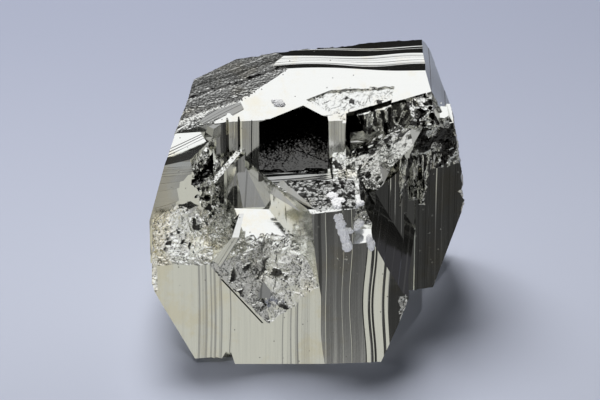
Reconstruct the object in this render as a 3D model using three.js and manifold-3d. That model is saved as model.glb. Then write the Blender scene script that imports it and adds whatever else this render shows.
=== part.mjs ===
// A hand-sized group of intergrown pyrite crystals with a little quartz in its clefts.
// Millimetres, +Z up, X to the right and Y away from the front, on the ground under its middle.
//
// All the pyrite shares one crystal setting, so every bright face is one of a few directions: the cube
// (top, front, sides) and the pyritohedron, whose faces lean 26.57 degrees away from the cube faces.
// A crystal is the space that its faces leave between them. A face can carry striae, which are fine steps
// along one edge direction, or the lumpy relief of a break. The crystals are joined into one solid,
// and the hollows, clefts and breaks are cut out of it.

import * as THREE from 'three';
import { mergeVertices } from 'three/addons/utils/BufferGeometryUtils.js';
import Module from 'manifold-3d';

const wasm = await Module();
wasm.setup();

// ---- driving dimensions ----

const LEAN = THREE.MathUtils.radToDeg(Math.atan(0.5));  // pyritohedral lean from a cube face, 26.57 degrees

const TOP_Z = 42.4;           // highest tread of the great crystal
const SLOPE_Z = 41.5;         // where the treads end and the bright slope begins
const SLOPE_Y = 3.8;          // and how far back that edge lies
const BACK_Y = 20.74;         // plane of the back face
const LEFT_X = -26;           // furthest reach to the left
const RIGHT_X = 26;           // furthest reach to the right
const PILLAR_Y = -5.2;        // front plane of the great crystal, below the slope
const COLUMN_Y = -12.5;       // front plane of the left column
const FRONT_Y = -21;          // front plane of the front block
const SHELF_Z = 19.3;         // broken shelf on top of the front block
const CENTRE_Z = 29.5;        // top of the centre column
const STEP_Z = 22.8;          // lower step on the right of the centre column
const GAP = 0.3;              // between the quartz and the pyrite around it

// ---- geometry helpers ----

// A unit vector. Azimuth 0 faces the front (-Y) and 90 faces the right (+X); elevation 90 is straight up.
function direction(azimuth, elevation) {
  const a = THREE.MathUtils.degToRad(azimuth);
  const e = THREE.MathUtils.degToRad(elevation);
  return new THREE.Vector3(Math.sin(a) * Math.cos(e), -Math.cos(a) * Math.cos(e), Math.sin(e));
}

// A closed geometry as a solid that can be joined and cut.
function solid(geometry) {
  const bare = geometry.clone();
  for (const name of Object.keys(bare.attributes)) {
    if (name !== 'position') bare.deleteAttribute(name);
  }
  const merged = mergeVertices(bare, 1e-4);
  return new wasm.Manifold(new wasm.Mesh({
    numProp: 3,
    vertProperties: new Float32Array(merged.attributes.position.array),
    triVerts: new Uint32Array(merged.index.array),
  }));
}

// A solid as a geometry with flat-shaded faces.
function geometryOf(body) {
  const mesh = body.getMesh();
  const geometry = new THREE.BufferGeometry();
  geometry.setAttribute('position', new THREE.BufferAttribute(new Float32Array(mesh.vertProperties), 3));
  geometry.setIndex(new THREE.BufferAttribute(new Uint32Array(mesh.triVerts), 1));
  geometry.computeVertexNormals();
  return geometry;
}

const ALONG_X = [1, 0, 0];    // the edge directions that striae and grain follow
const ALONG_Y = [0, 1, 0];
const ALONG_Z = [0, 0, 1];
const REACH = 70;             // half the width of the matter behind a face
const DEPTH = 130;            // and its depth: both go well past the whole group

// The three directions of a face: across its striae, along them, and outward.
function faceAxes(outward, along) {
  const v = along.clone().addScaledVector(outward, -along.dot(outward)).normalize();
  const u = new THREE.Vector3().crossVectors(v, outward);
  return [u, v, outward];
}

// The matter behind a smooth face.
function smoothFace([u, v, w], point) {
  const block = new THREE.BoxGeometry(2 * REACH, 2 * REACH, DEPTH);
  block.translate(0, 0, -DEPTH / 2);
  return solid(block.applyMatrix4(new THREE.Matrix4().makeBasis(u, v, w).setPosition(point)));
}

// The matter behind a striated face. The profile lists [across, height] points over the face plane, which
// the surface follows from one side to the other, straight along the striae.
function striatedFace([u, v, w], point, profile) {
  const outline = new THREE.Shape();
  outline.moveTo(-REACH, -DEPTH);
  outline.lineTo(REACH, -DEPTH);
  outline.lineTo(REACH, profile.at(-1)[1]);
  [...profile].reverse().forEach(([across, height]) => outline.lineTo(across, height));
  outline.lineTo(-REACH, profile[0][1]);
  const bar = new THREE.ExtrudeGeometry(outline, { depth: 2 * REACH, bevelEnabled: false });
  bar.translate(0, 0, -REACH);
  const basis = new THREE.Matrix4().makeBasis(u, w, v.clone().negate()).setPosition(point);
  return solid(bar.applyMatrix4(basis));
}

// A number from 0 to 1 that looks random but is the same every time for the same place.
function chance(i, j, seed) {
  const wave = Math.sin(i * 127.1 + j * 311.7 + seed * 74.7) * 43758.5453;
  return wave - Math.floor(wave);
}

// The matter behind a broken face: facets of about the cell size that stand up to the relief height over
// the face plane, within width x length round the point, and a sunken margin beyond.
function brokenFace([u, v, w], point, { width, length, cell, relief, seed }) {
  const columns = Math.round(width / cell);
  const rows = Math.round(length / cell);
  const sheet = new THREE.PlaneGeometry(width, length, columns, rows);
  const spots = sheet.attributes.position;
  for (let k = 0; k < spots.count; k += 1) {
    const i = k % (columns + 1);
    const j = Math.floor(k / (columns + 1));
    const shift = 0.35 * cell;
    const inner = i > 0 && i < columns && j > 0 && j < rows;
    if (inner) {
      spots.setX(k, spots.getX(k) + shift * (2 * chance(i, j, seed + 1) - 1));
      spots.setY(k, spots.getY(k) + shift * (2 * chance(i, j, seed + 2) - 1));
    }
    spots.setZ(k, relief * (2 * chance(i, j, seed) - 1));
  }
  const basis = new THREE.Matrix4().makeBasis(u, v, w).setPosition(point);
  const margin = point.clone().addScaledVector(w, -relief - 0.4);
  const skirt = closedSheet(sheet, columns, rows, -relief - 1);
  return smoothFace([u, v, w], margin).add(solid(skirt.applyMatrix4(basis)));
}

// A grid sheet of columns x rows cells, closed by a flat floor at the given height.
function closedSheet(sheet, columns, rows, floor) {
  const top = sheet.attributes.position;
  const positions = [...top.array];
  for (let k = 0; k < top.count; k += 1) positions.push(top.getX(k), top.getY(k), floor);
  const faces = [...sheet.index.array];
  for (let k = 0; k < sheet.index.count; k += 3) {
    const [a, b, c] = [0, 1, 2].map((corner) => sheet.index.array[k + corner] + top.count);
    faces.push(a, c, b);
  }
  const at = (column, row) => row * (columns + 1) + column;
  const wall = (a, b) => faces.push(a, a + top.count, b, b, a + top.count, b + top.count);
  for (let i = 0; i < columns; i += 1) {
    wall(at(i + 1, 0), at(i, 0));
    wall(at(i, rows), at(i + 1, rows));
  }
  for (let j = 0; j < rows; j += 1) {
    wall(at(0, j), at(0, j + 1));
    wall(at(columns, j + 1), at(columns, j));
  }
  const closed = new THREE.BufferGeometry();
  closed.setAttribute('position', new THREE.Float32BufferAttribute(positions, 3));
  closed.setIndex(faces);
  return closed;
}

// A crystal or a hollow: what its faces leave between them. Each face gives its azimuth, its elevation, a
// point that it passes through, and maybe its relief: { along, profile } or { along, width, length, ... }.
function crystal(faces) {
  const sides = faces.map(([azimuth, elevation, through, relief]) => {
    const outward = direction(azimuth, elevation);
    const along = relief?.along ?? (Math.abs(outward.z) > 0.8 ? [1, 0, 0] : [0, 0, 1]);
    const axes = faceAxes(outward, new THREE.Vector3(...along));
    const point = new THREE.Vector3(...through);
    if (relief?.profile) return striatedFace(axes, point, relief.profile);
    if (relief?.cell) return brokenFace(axes, point, relief);
    return smoothFace(axes, point);
  });
  return sides.reduce((whole, side) => whole.intersect(side));
}

// Striae as a run of flat facets from start, each [width, turn]: it falls by its width times the tangent of
// its turn in degrees.
function facets(start, list) {
  const profile = [[start, 0]];
  for (const [width, turn] of list) {
    const [across, height] = profile.at(-1);
    profile.push([across + width, height - width * Math.tan(THREE.MathUtils.degToRad(turn))]);
  }
  return profile;
}

// Striae: a run of low ridges from start, each [gap before it, width, height].
function ridges(start, list) {
  const profile = [];
  let across = start;
  for (const [before, width, height] of list) {
    across += before;
    profile.push([across, 0], [across, height], [across + width, height], [across + width, 0]);
    across += width;
  }
  return profile;
}

// ---- the great crystal at the back ----

// Left of the hollow the front is a row of pillars with slots between them.
const SLOTS = [
  [1.6, 0.5], [0.1, 70], [0.3, 0], [0.1, -70], [1.85, 5], [0.1, 82], [0.28, 0], [0.1, -82], [1.44, 0.2],
  [0.1, 83], [0.22, 0], [0.1, -83], [1.75, -1.6], [0.08, 66], [0.08, -68], [1.9, -0.5], [0.3, 30],
];

// The whole left side is one plane, from the top of the group down to its widest part.
const LEFT_SIDE = [-99.1, 14.2, [-23.1, COLUMN_Y, 33.7]];

// The top is a flight of level treads and short bright ramps, which steps down towards the front.
function treads() {
  const flight = [[2, 0], [0.15, 0.08], [1.2, 0], [0.15, 0.08], [0.7, 0], [1, 0.5], [0.65, 0], [0.5, 0.24]];
  const profile = [[0, 0]];
  for (const [run, fall] of flight) {
    const [across, height] = profile.at(-1);
    profile.push([across + run, height - fall]);
  }
  return profile;
}

// Broad layers that climb to the right across the broken slope at the upper left, parted by steep risers.
const LEDGES = [
  [1.6, -0.8], [0.09, 66], [1, 0.4], [0.05, 64], [2.4, -0.6], [0.14, 66], [2.55, 0.2], [0.1, 64], [0.8, -1],
  [0.9, 18], [0.2, 66], [1.3, 0.4], [0.17, 60], [3.5, -1],
];

// It bends down at the front into the bright slope; the rest of its outside is cube and pyritohedral
// faces, with a long layered slope at the upper left.
function greatCrystal() {
  return crystal([
    [0, 90, [0, 12.2, TOP_Z], { along: ALONG_X, profile: treads() }],
    [0, 90 - LEAN, [0, SLOPE_Y, SLOPE_Z]],
    [3.5, 0, [-8, PILLAR_Y, 0], { along: ALONG_Z, profile: facets(-9.4, SLOTS) }],
    [20, 0, [14, -2.4, 30], { along: ALONG_Z, width: 26, length: 30, cell: 1.7, relief: 0.35, seed: 43 }],
    [90, LEAN, [19.3, 4.5, SLOPE_Z],
      { along: ALONG_Y, profile: ridges(-9, [[0, 2, 0.25], [1.5, 1, 0.2], [2, 2.5, 0.3]]) }],
    [90, 9, [24.2, 0, 31]],
    [90, 0, [RIGHT_X, 0, 0],
      { along: ALONG_Y, profile: ridges(-14, [[0, 3, -0.4], [2, 1.5, -0.3], [3, 4, -0.5]]) }],
    [90, -18, [21.2, 4, 0]],
    [110, 7, [22.3, 11.3, 36]],
    [-52.7, 74.2, [-14, 1, 39.2], { along: [1, 0.2, 0.26], profile: facets(-6.4, LEDGES) }],
    [...LEFT_SIDE, { along: ALONG_Z, width: 40, length: 60, cell: 3.4, relief: 0.3, seed: 5 }],
    [-90, 0, [LEFT_X, 0, 0]],
    [-90, -LEAN, [-19, 0, 1.9]],
    [-169, 45, [-7.8, 8, TOP_Z], { along: ALONG_X, width: 40, length: 70, cell: 3, relief: 0.45, seed: 7 }],
    [-150, 20, [-14.75, 7.65, 39.7]],
    [180, 0, [0, 15.5, 18], { along: ALONG_Z, width: 64, length: 60, cell: 2.8, relief: 0.6, seed: 9 }],
    [0, -90, [0, 0, 0]],
  ]);
}

// Striae of the lobe, counted from right to left: fine lines on the right, coarse blades on the left.
const lobeStriae = facets(-9, [
  [7.36, 0], [0.1, 70], [0.45, 0], [0.1, -70], [1.25, -4], [0.12, 78], [1.1, 0], [0.12, -78], [3.5, 0],
]);

// Two smaller crystals grown through the broken back.
function backCrystals() {
  const low = crystal([
    [180, 0, [0, BACK_Y, 0],
      { along: ALONG_Z, profile: ridges(2, [[1, 1.5, 0.3], [2, 0.8, -0.3], [3, 2.4, 0.4], [1, 1, 0.3]]) }],
    [0, 90, [0, 0, 23], { along: ALONG_X, profile: ridges(-19, [[0, 1.4, -0.4], [1, 1, -0.3]]) }],
    [180, LEAN, [0, BACK_Y, 20]],
    [-90, 0, [-19.5, 0, 0]],
    [90, 0, [-2, 0, 0]],
    [-90 - LEAN, 0, [-19.5, 17, 0]],
    [180, -LEAN, [0, BACK_Y, 5]],
    [0, 0, [0, 0, 0]],
    [0, -90, [0, 0, 0]],
  ]);
  const high = crystal([
    [180, 0, [0, 19, 0],
      { along: ALONG_Z, profile: ridges(-17, [[0, 2, 0.3], [3, 1, 0.3], [2, 1.6, -0.4], [2.5, 2, 0.3]]) }],
    [0, 90, [0, 0, 32]],
    [180, 90 - LEAN, [0, 15.5, 32],
      { along: ALONG_X, profile: ridges(-3, [[0, 0.8, 0.3], [1, 1.2, 0.3]]) }],
    [-90, 0, [1.5, 0, 0]],
    [90, 0, [19.5, 0, 0]],
    [90 + LEAN, 0, [19.5, 15, 0]],
    [180, -LEAN, [0, 19, 4]],
    [0, 0, [0, 0, 0]],
    [0, -90, [0, 0, 0]],
  ]);
  return low.add(high);
}

// The room in front of the right-hand lobe, below the grainy arm.
function lobeFront() {
  return crystal([
    [14 + 180, 0, [17, 2.3, 0], { along: ALONG_Z, profile: lobeStriae }],
    [-90, 50, [16.1, 0, 28.9]],
    [0, 0, [0, -40, 0]],
    [90, 0, [40, 0, 0]],
    [-90, 0, [6.5, 0, 0]],
    [0, -90, [0, 0, -5]],
  ]);
}

// The dark shoulder between the lobe and the front block.
function shoulder() {
  return crystal([
    [12, 0, [14, -6, 0],
      { along: ALONG_Z, profile: ridges(-1.6, [[0, 0.3, 0.2], [1, 0.3, 0.2], [0.6, 0.5, -0.4]]) }],
    [90, -22, [11.9, -19, 0]],
    [90, 0, [15.8, 0, 0]],
    [-90, 50, [16.1, 0, 28.9]],
    [-90, 0, [6.5, 0, 0]],
    [180, 0, [0, 4, 0]],
    [0, -90, [0, 0, 0]],
  ]);
}

// A rough upright rib on the lobe, which narrows to a point below.
function rib(x, y, width, top, bottom) {
  const taper = THREE.MathUtils.radToDeg(Math.atan(width / 2 / (top - bottom)));
  return crystal([
    [1, 3, [x, y, bottom]],
    [-70, -0.3 * taper, [x, y + 0.3, top]],
    [75, -1.7 * taper, [x + width, y + 0.3, top]],
    [20, -60, [x, y, bottom]],
    [0, 60, [x, y, top + 1]],
    [180, 0, [0, y + 3, 0]],
  ]);
}

function ribs() {
  return rib(14.9, -0.9, 1.5, 28, 19.5)
    .add(rib(17.2, -0.2, 1.7, 31.5, 19))
    .add(rib(18.7, 0.3, 2.3, 33, 18));
}

// The upright post between the hollow and the recess.
function post() {
  return crystal([
    [1, 8, [4.6, -5.6, 33]],
    [-80, 0, [3.1, -4.5, 0]],
    [75, 0, [6.2, -4.5, 0]],
    [0, 90 - LEAN, [0, SLOPE_Y, SLOPE_Z - 0.1]],
    [180, 0, [0, 2, 0]],
    [0, -90, [0, 0, 28.5]],
  ]);
}

// ---- the front block ----

const frontStriae = ridges(-18.2, [
  [0, 1.3, -0.12], [0.7, 0.35, 0.12], [0.5, 0.2, 0.1], [0.35, 0.3, -0.1], [0.9, 0.25, 0.12],
  [1.1, 0.2, 0.1], [7.5, 0.3, 0.12], [0.6, 0.5, -0.1], [0.5, 0.25, 0.14], [0.4, 0.25, 0.12],
  [0.35, 0.25, -0.12],
]);

const sideStriae = ridges(0.6, [
  [0.3, 0.3, -0.12], [0.6, 0.2, 0.1], [1.8, 0.25, 0.12], [1.4, 0.3, -0.12], [1.3, 0.9, 0.35],
  [0.5, 0.5, -0.2], [0.7, 1.3, 0.4], [0.6, 0.5, 0.3], [0.4, 1.6, -0.3],
]);

function frontBlock() {
  return crystal([
    [0, 0, [0, FRONT_Y, 0], { along: ALONG_Z, profile: frontStriae }],
    [5, 0, [0.75, FRONT_Y, 0], { along: ALONG_Z, profile: sideStriae }],
    [0, 88, [-16, -13, SHELF_Z],
      { along: ALONG_X, width: 30, length: 22, cell: 1.7, relief: 0.6, seed: 11 }],
    [35, 5, [14.2, -19.9, 10]],
    [90, -22, [11.9, -19, 0]],
    [90, 0, [16.4, 0, 0]],
    [84, LEAN, [16.4, -18, 11.2]],
    [-90, 0, [-24.5, 0, 0]],
    [-90, -LEAN, [-19, 0, 1.9]],
    [14 + 180, 0, [17, 3.3, 0]],
    [0, -90, [0, 0, 0]],
  ]);
}

// The piece that broke out of the front block: a corner that points down, with rough sides.
function breakaway() {
  return crystal([
    [30.2 + 180, -22.7, [-9.8, -18.9, 15.3],
      { along: ALONG_Z, width: 24, length: 24, cell: 1.6, relief: 0.28, seed: 13 }],
    [-20.5 + 180, -21.3, [-4.3, -18.9, 14.53],
      { along: ALONG_Z, width: 24, length: 24, cell: 1.6, relief: 0.28, seed: 17 }],
    [0, 0, [0, FRONT_Y - 5, 0]],
    [0, 90, [0, 0, 30]],
  ]);
}

// The slab with a bright, sloping, striated top, set in front of the great crystal.
function slab() {
  return crystal([
    [0, 90 - LEAN, [-20, -6, 35.4], { along: [1, 0.48, 0.24], profile: facets(-2.4, [
      [0.7, -6], [0.08, 50], [0.53, 0], [0.08, 50], [0.42, 0], [2.1, 0.6], [0.41, 8], [0.5, 4], [1.2, -3],
    ]) }],
    [-52.7, 74.2, [-14, 1, 38.3]],
    LEFT_SIDE,
    [0, 0, [0, -12, 0]],
    [121, 0, [-16.5, -7.8, 0]],
    [50, 10, [-16.9, -9, 34]],
    [-90, 0, [LEFT_X, 0, 0]],
    [180, 0, [0, 5, 0]],
    [0, -90, [0, 0, 14]],
  ]);
}

// A grey slab between the layered slope and the bright one, with two steps along its lower edge.
function tongue() {
  return crystal([
    [-7.8, 61, [-11.4, -1.6, 38.9]],
    [114.6, 0, [-11, -2.4, 0]],
    [33, 0, [-12.9, -4.9, 0],
      { along: [-4.65, -3.05, -2], profile: facets(-3, [
        [0.6, 0], [0.1, 40], [0.8, 0], [0.12, 45], [6, 0],
      ]) }],
    [-27.5, 10, [-16.5, -5.8, 36.1]],
    [-131, 0, [-17.3, -4.5, 0]],
    [-156, 40, [-14, -2.8, 38.1]],
    [0, -90, [0, 0, 34.3]],
  ]);
}

// The squarer crystal in front of the slab.
function leftColumn() {
  return crystal([
    [4.4, 0, [-20, COLUMN_Y, 22]],
    [-90, 76.5, [-23.1, -11.1, 32.85]],
    LEFT_SIDE,
    [-90, 0, [LEFT_X, 0, 0]],
    [-90, -LEAN, [-19, 0, 1.9]],
    [60, 0, [-19.2, COLUMN_Y, 0],
      { along: ALONG_Z, profile: ridges(-4, [[0, 0.7, 0.25], [1, 0.5, 0.2], [1.3, 0.6, 0.25]]) }],
    [180, 0, [0, 5, 0]],
    [0, -90, [0, 0, 5]],
  ]);
}

// The rough foot of the left column, which slopes down to the corner of the front block.
function leftFoot() {
  return crystal([
    [-31, 40.6, [-21.5, -19, 18],
      { along: ALONG_X, width: 24, length: 24, cell: 1.7, relief: 0.45, seed: 19 }],
    [0, 0, [0, FRONT_Y + 0.1, 0]],
    LEFT_SIDE,
    [-90, 0, [LEFT_X + 0.5, 0, 0]],
    [-90, -LEAN, [-19, 0, 1.9]],
    [60, 25, [-17, -14, 20.5], { along: ALONG_Y, width: 20, length: 20, cell: 1.7, relief: 0.4, seed: 27 }],
    [180, 0, [0, -5, 0]],
    [0, 90, [0, 0, 25]],
    [0, -90, [0, 0, 12]],
  ]);
}

// A thin crystal whose bright edge slants down to the left across the pillars.
function slantingEdge() {
  return crystal([
    [-15, 60, [-10.6, -4.9, 31.9]],
    [47.6, 0, [-10.3, -4.9, 0]],
    [-132.4, 0, [-11.1, -4.5, 0]],
    [-42.4, 0, [-15.4, -10.2, 0]],
    [180, 0, [0, -3, 0]],
    [0, -90, [0, 0, 15]],
  ]);
}

// The foot of the pillars flares out towards the centre column.
function skirt() {
  return crystal([
    [4, 41, [-9, -5.4, 28.6]],
    [-75, 0, [-11.6, -7, 24]],
    [90, 0, [-4, 0, 0]],
    [180, 0, [0, -3, 0]],
    [0, -90, [0, 0, 12]],
  ]);
}

// The small crystal whose bright top leans against the centre column. Its front is broken.
function smallCrystal() {
  return crystal([
    [-4, 61, [0, -10.9, 23.4]],
    [-70, 0, [-11.3, -12.5, 0]],
    [-40, 40, [-10.6, -14.2, 21.6]],
    [2, 46, [-6, -14.6, 21.1],
      { along: ALONG_X, width: 16, length: 12, cell: 1.5, relief: 0.35, seed: 63 }],
    [0, 0, [0, FRONT_Y + 0.5, 0]],
    [90, 0, [0, 0, 0]],
    [180, 0, [0, -4, 0]],
    [0, 90, [0, 0, 23.4]],
    [0, -90, [0, 0, 5]],
  ]);
}

// The upright striped blade on the left of the notch.
function blade() {
  return crystal([
    [-6, 10, [-13.4, -20.4, 17.4], { along: [-3.5, -0.4, -4.7], profile: facets(-0.9, [
      [0.35, -4], [0.1, 35], [0.28, 6], [0.3, 0], [0.1, 35], [0.3, 4], [0.5, 0],
    ]) }],
    [-90, 40, [-15.3, -20, 16.2]],
    [90, -34, [-11.7, -20, 19.6]],
    [0, 75, [-13, -20.4, 20.3]],
    [-90, -50, [-15.3, -20, 15.6]],
    [180, 0, [0, -14, 0]],
  ]);
}

// ---- the centre column ----

function centreColumn() {
  return crystal([
    [0, 89, [-1, -9, CENTRE_Z + 0.3],
      { along: [1, 0.12, 0], profile: facets(0, [[1.67, 22.3], [3.47, 6.6], [1, 0]]) }],
    [-55.6, -5, [-1.4, -19, CENTRE_Z]],
    [5, 0, [0.75, FRONT_Y, 0], { along: ALONG_Z, profile: sideStriae }],
    [0, 55, [0, -20.6, 28.9]],
    [90, 0, [7.2, 0, 0]],
    [180, 0, [0, 2, 0]],
    [0, -90, [0, 0, 12]],
  ]);
}

// The broken lump that stands on the front of the centre column.
function lump() {
  return crystal([
    [6, 78, [2.5, -15, 29.4], { along: ALONG_X, width: 14, length: 12, cell: 1.4, relief: 0.25, seed: 54 }],
    [-50, 20, [-2, -16.5, 29.2]],
    [3, 50, [2, -19.6, 28.6]],
    [5, 0, [0.75, FRONT_Y + 0.4, 10]],
    [90, 0, [6.5, 0, 0]],
    [180, 20, [0, -12.6, 29.6]],
    [0, -90, [0, 0, 27.4]],
  ]);
}

function rightStep() {
  return crystal([
    [5, 0, [0.75, FRONT_Y, 0], { along: ALONG_Z, profile: sideStriae }],
    [0, 90 - LEAN, [0, -19.6, STEP_Z]],
    [0, 90, [0, 0, STEP_Z + 1]],
    [84, LEAN, [16.4, -18, 11.2]],
    [-90, 0, [2, 0, 0]],
    [180, 0, [0, 2, 0]],
    [0, -90, [0, 0, 12]],
  ]);
}

// The block behind the right step, which carries the foot of the grainy arm.
function armFoot() {
  return crystal([
    [5, 15, [9, -15.5, 26], { along: ALONG_X, width: 14, length: 14, cell: 1.5, relief: 0.4, seed: 29 }],
    [0, 70, [9, -13, 28.5], { along: ALONG_X, width: 14, length: 14, cell: 1.5, relief: 0.4, seed: 31 }],
    [84, LEAN, [16.4, -18, 11.2]],
    [-90, 0, [6, 0, 0]],
    [180, 0, [0, 2, 0]],
    [0, -90, [0, 0, 12]],
  ]);
}

// ---- the arm ----

// The grainy ridge that runs down from the right-hand corner of the slope and overhangs the lobe.
function arm() {
  return crystal([
    [-30.7, 30.6, [15.9, -6, 31.4],
      { along: [-6.3, -1, -6.9], width: 12, length: 26, cell: 1.5, relief: 0.2, seed: 71 }],
    [80, -41.2, [15.9, -6, 31.5]],
    [-88, 52, [17.7, -3, 35.8]],
    [55, 35, [17.2, -4.5, 33.6]],
    [-45, -30, [7.6, -6, 25.2]],
    [180, 0, [0, 3, 0]],
    [0, -90, [0, 0, 23]],
  ]);
}

// The pointed tooth at the lower end of the arm.
function tooth() {
  return crystal([
    [-4, 10, [8, -9, 28], { along: [0.35, 0, 1], profile: facets(-1.8, [
      [0.2, 10], [0.14, -45], [0.25, 20], [0.14, -50], [0.2, 30], [0.14, -45], [0.3, 20],
      [0.16, -40], [0.5, 10], [0.12, -40], [0.3, 20], [0.12, -40], [0.5, 10],
    ]) }],
    [-85, 4, [6.3, -9, 28]],
    [90, 27.4, [6.9, -9, 31.4]],
    [-70, 60, [6.7, -9, 31.3]],
    [180, 0, [0, -3, 0]],
    [0, -90, [0, 0, 25]],
  ]);
}

// The broken corner block at the upper end of the arm.
function cornerBlock() {
  return crystal([
    [20, 50, [19, -1.8, 36.3],
      { along: ALONG_X, width: 14, length: 12, cell: 1.6, relief: 0.35, seed: 77 }],
    [-60, 20, [16.4, -2, 36]],
    [80, 20, [22, 0, 34]],
    [10, -35, [19, -1.8, 34]],
    [0, 90 - LEAN, [0, SLOPE_Y, SLOPE_Z + 0.2]],
    [180, 0, [0, 0.3, 0]],
  ]);
}

// ---- quartz ----

// One grain of quartz: a faceted lump with the given half sizes, turned by tilt about X.
function grain(place, half, tilt = 0, grown = 0) {
  const lump = new THREE.IcosahedronGeometry(1, 1);
  lump.scale(...half.map((size) => size + grown));
  lump.rotateX(THREE.MathUtils.degToRad(tilt));
  lump.translate(...place);
  return solid(lump);
}

const quartz = {
  quartz_vein: [
    [[5.2, -18, 29], [1.4, 2.3, 1.1]],
    [[5.4, -20, 26.7], [1.3, 1.2, 3]],
    [[6.2, -20.3, 23], [1.1, 1, 2.1]],
    [[7.4, -18.9, 25], [1.7, 1.6, 1.2]],
    [[7.2, -17.4, 28.4], [1.9, 1.3, 1]],
  ],
  quartz_drop: [[[10, -20.1, 22.6], [0.75, 0.8, 1.6]]],
  quartz_spot: [[[-5, -2.03, 38.45], [1.35, 1.1, 0.55], LEAN]],
  quartz_druse: [[[-5.2, -19.7, 11.3], [2.1, 0.9, 1.3]]],
};

// All the grains of one quartz piece, joined; grown, they are the cleft that holds it.
function grains(list, grown) {
  const all = list.map(([place, half, tilt]) => grain(place, half, tilt, grown));
  return all.reduce((body, one) => body.add(one));
}

// ---- hollows ----

// The black hollow under the bright slope, with a gabled mouth.
function hollow() {
  return crystal([
    [0, 0, [0, -30, 0]],
    [12 + 180, -5, [-3, 3, 30]],
    [-90, 0, [-8.1, 0, 0]],
    [90, 0, [3.1, 0, 0]],
    [-90, 77.5, [-0.9, 0, 38.35]],
    [90, 74, [-0.9, 0, 38.35]],
    [0, -90, [0, 0, CENTRE_Z], { along: ALONG_X, width: 14, length: 30, cell: 2.2, relief: 0.2, seed: 65 }],
  ]);
}

// The dark recess on the right, over the grainy arm.
function recess() {
  return crystal([
    [0, 0, [0, -30, 0]],
    [14 + 180, -4, [13, 5, 33],
      { along: ALONG_Z, width: 20, length: 20, cell: 2.2, relief: 0.4, seed: 37 }],
    [-90, 0, [6.1, 0, 0]],
    [90, 0, [19.2, 0, 0]],
    [-90, 77, [6.1, 0, 37.4]],
    [90, -51, [13, -1, 30.2], { along: ALONG_Y, width: 20, length: 16, cell: 1.5, relief: 0.45, seed: 41 }],
    [0, -90, [0, 0, 28.6]],
  ]);
}

// A smooth little crystal that shows inside the recess.
function innerBlock() {
  return crystal([
    [-22, 28, [8.4, -1.6, 33.2]],
    [6, 3, [8.5, -2.4, 31]],
    [40, 0, [10.3, -1.8, 0]],
    [0, 86, [0, -1, 33.4]],
    [-85, 0, [6.9, 0, 0]],
    [180, 0, [0, 6, 0]],
    [0, -90, [0, 0, 28]],
  ]);
}

// The narrow pit at the right-hand end of the slab.
function pit() {
  return crystal([
    [0, 0, [0, -30, 0]],
    [180, 10, [-17.4, -3.2, 30]],
    [-90, 5, [-18.7, 0, 30]],
    [90, 0, [-15.9, 0, 0]],
    [-60, 70, [-17.5, -6, 33.6]],
    [0, -90, [0, 0, 29.5]],
  ]);
}

// The shallow wedge that broke off the bright slope, above the post.
function fracture() {
  return crystal([
    [176, -62, [7.5, -1.9, 37.9],
      { along: ALONG_X, width: 22, length: 12, cell: 1.5, relief: 0.25, seed: 81 }],
    [-30, 5, [-0.3, -1.6, 38.8]],
    [-155, 10, [3.3, 0.1, 39.6]],
    [-174.5, 10, [8, 0.5, 39.9]],
    [84, -10, [13.9, 0, 39.5]],
    [0, 90, [0, 0, 45]],
  ]);
}

// The chip off the bottom edge at the front left, with a jagged roof.
function chip() {
  return crystal([
    [180, -35, [0, -18.8, 0]],
    [0, 90, [-19.5, FRONT_Y, 1.1], { along: ALONG_Y, profile: facets(0, [
      [3.6, -4], [0.4, 40], [0.35, -30], [0.9, 20], [0.7, -62], [0.5, 30], [0.6, -30],
    ]) }],
    [90, 15, [-12.1, FRONT_Y, 0]],
    [-90, 0, [-30, 0, 0]],
    [0, 0, [0, -30, 0]],
    [0, -90, [0, 0, -3]],
  ]);
}

const pyrite = greatCrystal()
  .add(backCrystals())
  .add(post())
  .subtract(lobeFront())
  .subtract(fracture())
  .add(shoulder())
  .add(ribs())
  .add(tongue())
  .add(slab())
  .add(leftColumn())
  .add(frontBlock())
  .add(leftFoot())
  .add(smallCrystal())
  .subtract(breakaway())
  .add(blade())
  .add(centreColumn())
  .add(lump())
  .add(rightStep())
  .add(armFoot())
  .add(slantingEdge())
  .add(skirt())
  .subtract(hollow())
  .subtract(recess())
  .subtract(pit())
  .subtract(chip())
  .add(innerBlock())
  .add(arm())
  .add(tooth())
  .add(cornerBlock());

const clefts = Object.values(quartz).map((list) => grains(list, GAP));
const pyriteWithClefts = clefts.reduce((body, cleft) => body.subtract(cleft), pyrite);

// ---- the whole group ----

const pyriteFinish = new THREE.MeshStandardMaterial({ color: 0xb5b19c, metalness: 1, roughness: 0.22 });
const quartzFinish = new THREE.MeshStandardMaterial({ color: 0xbcc4dc, metalness: 0, roughness: 0.3 });

const specimen = new THREE.Group();

function place(name, body, finish) {
  const mesh = new THREE.Mesh(geometryOf(body), finish);
  mesh.name = name;
  specimen.add(mesh);
}

place('pyrite', pyriteWithClefts, pyriteFinish);
for (const [name, list] of Object.entries(quartz)) place(name, grains(list, 0), quartzFinish);

export default specimen;
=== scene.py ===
import math

import bmesh
import bpy
import numpy as np
from mathutils import Matrix, Vector


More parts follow.
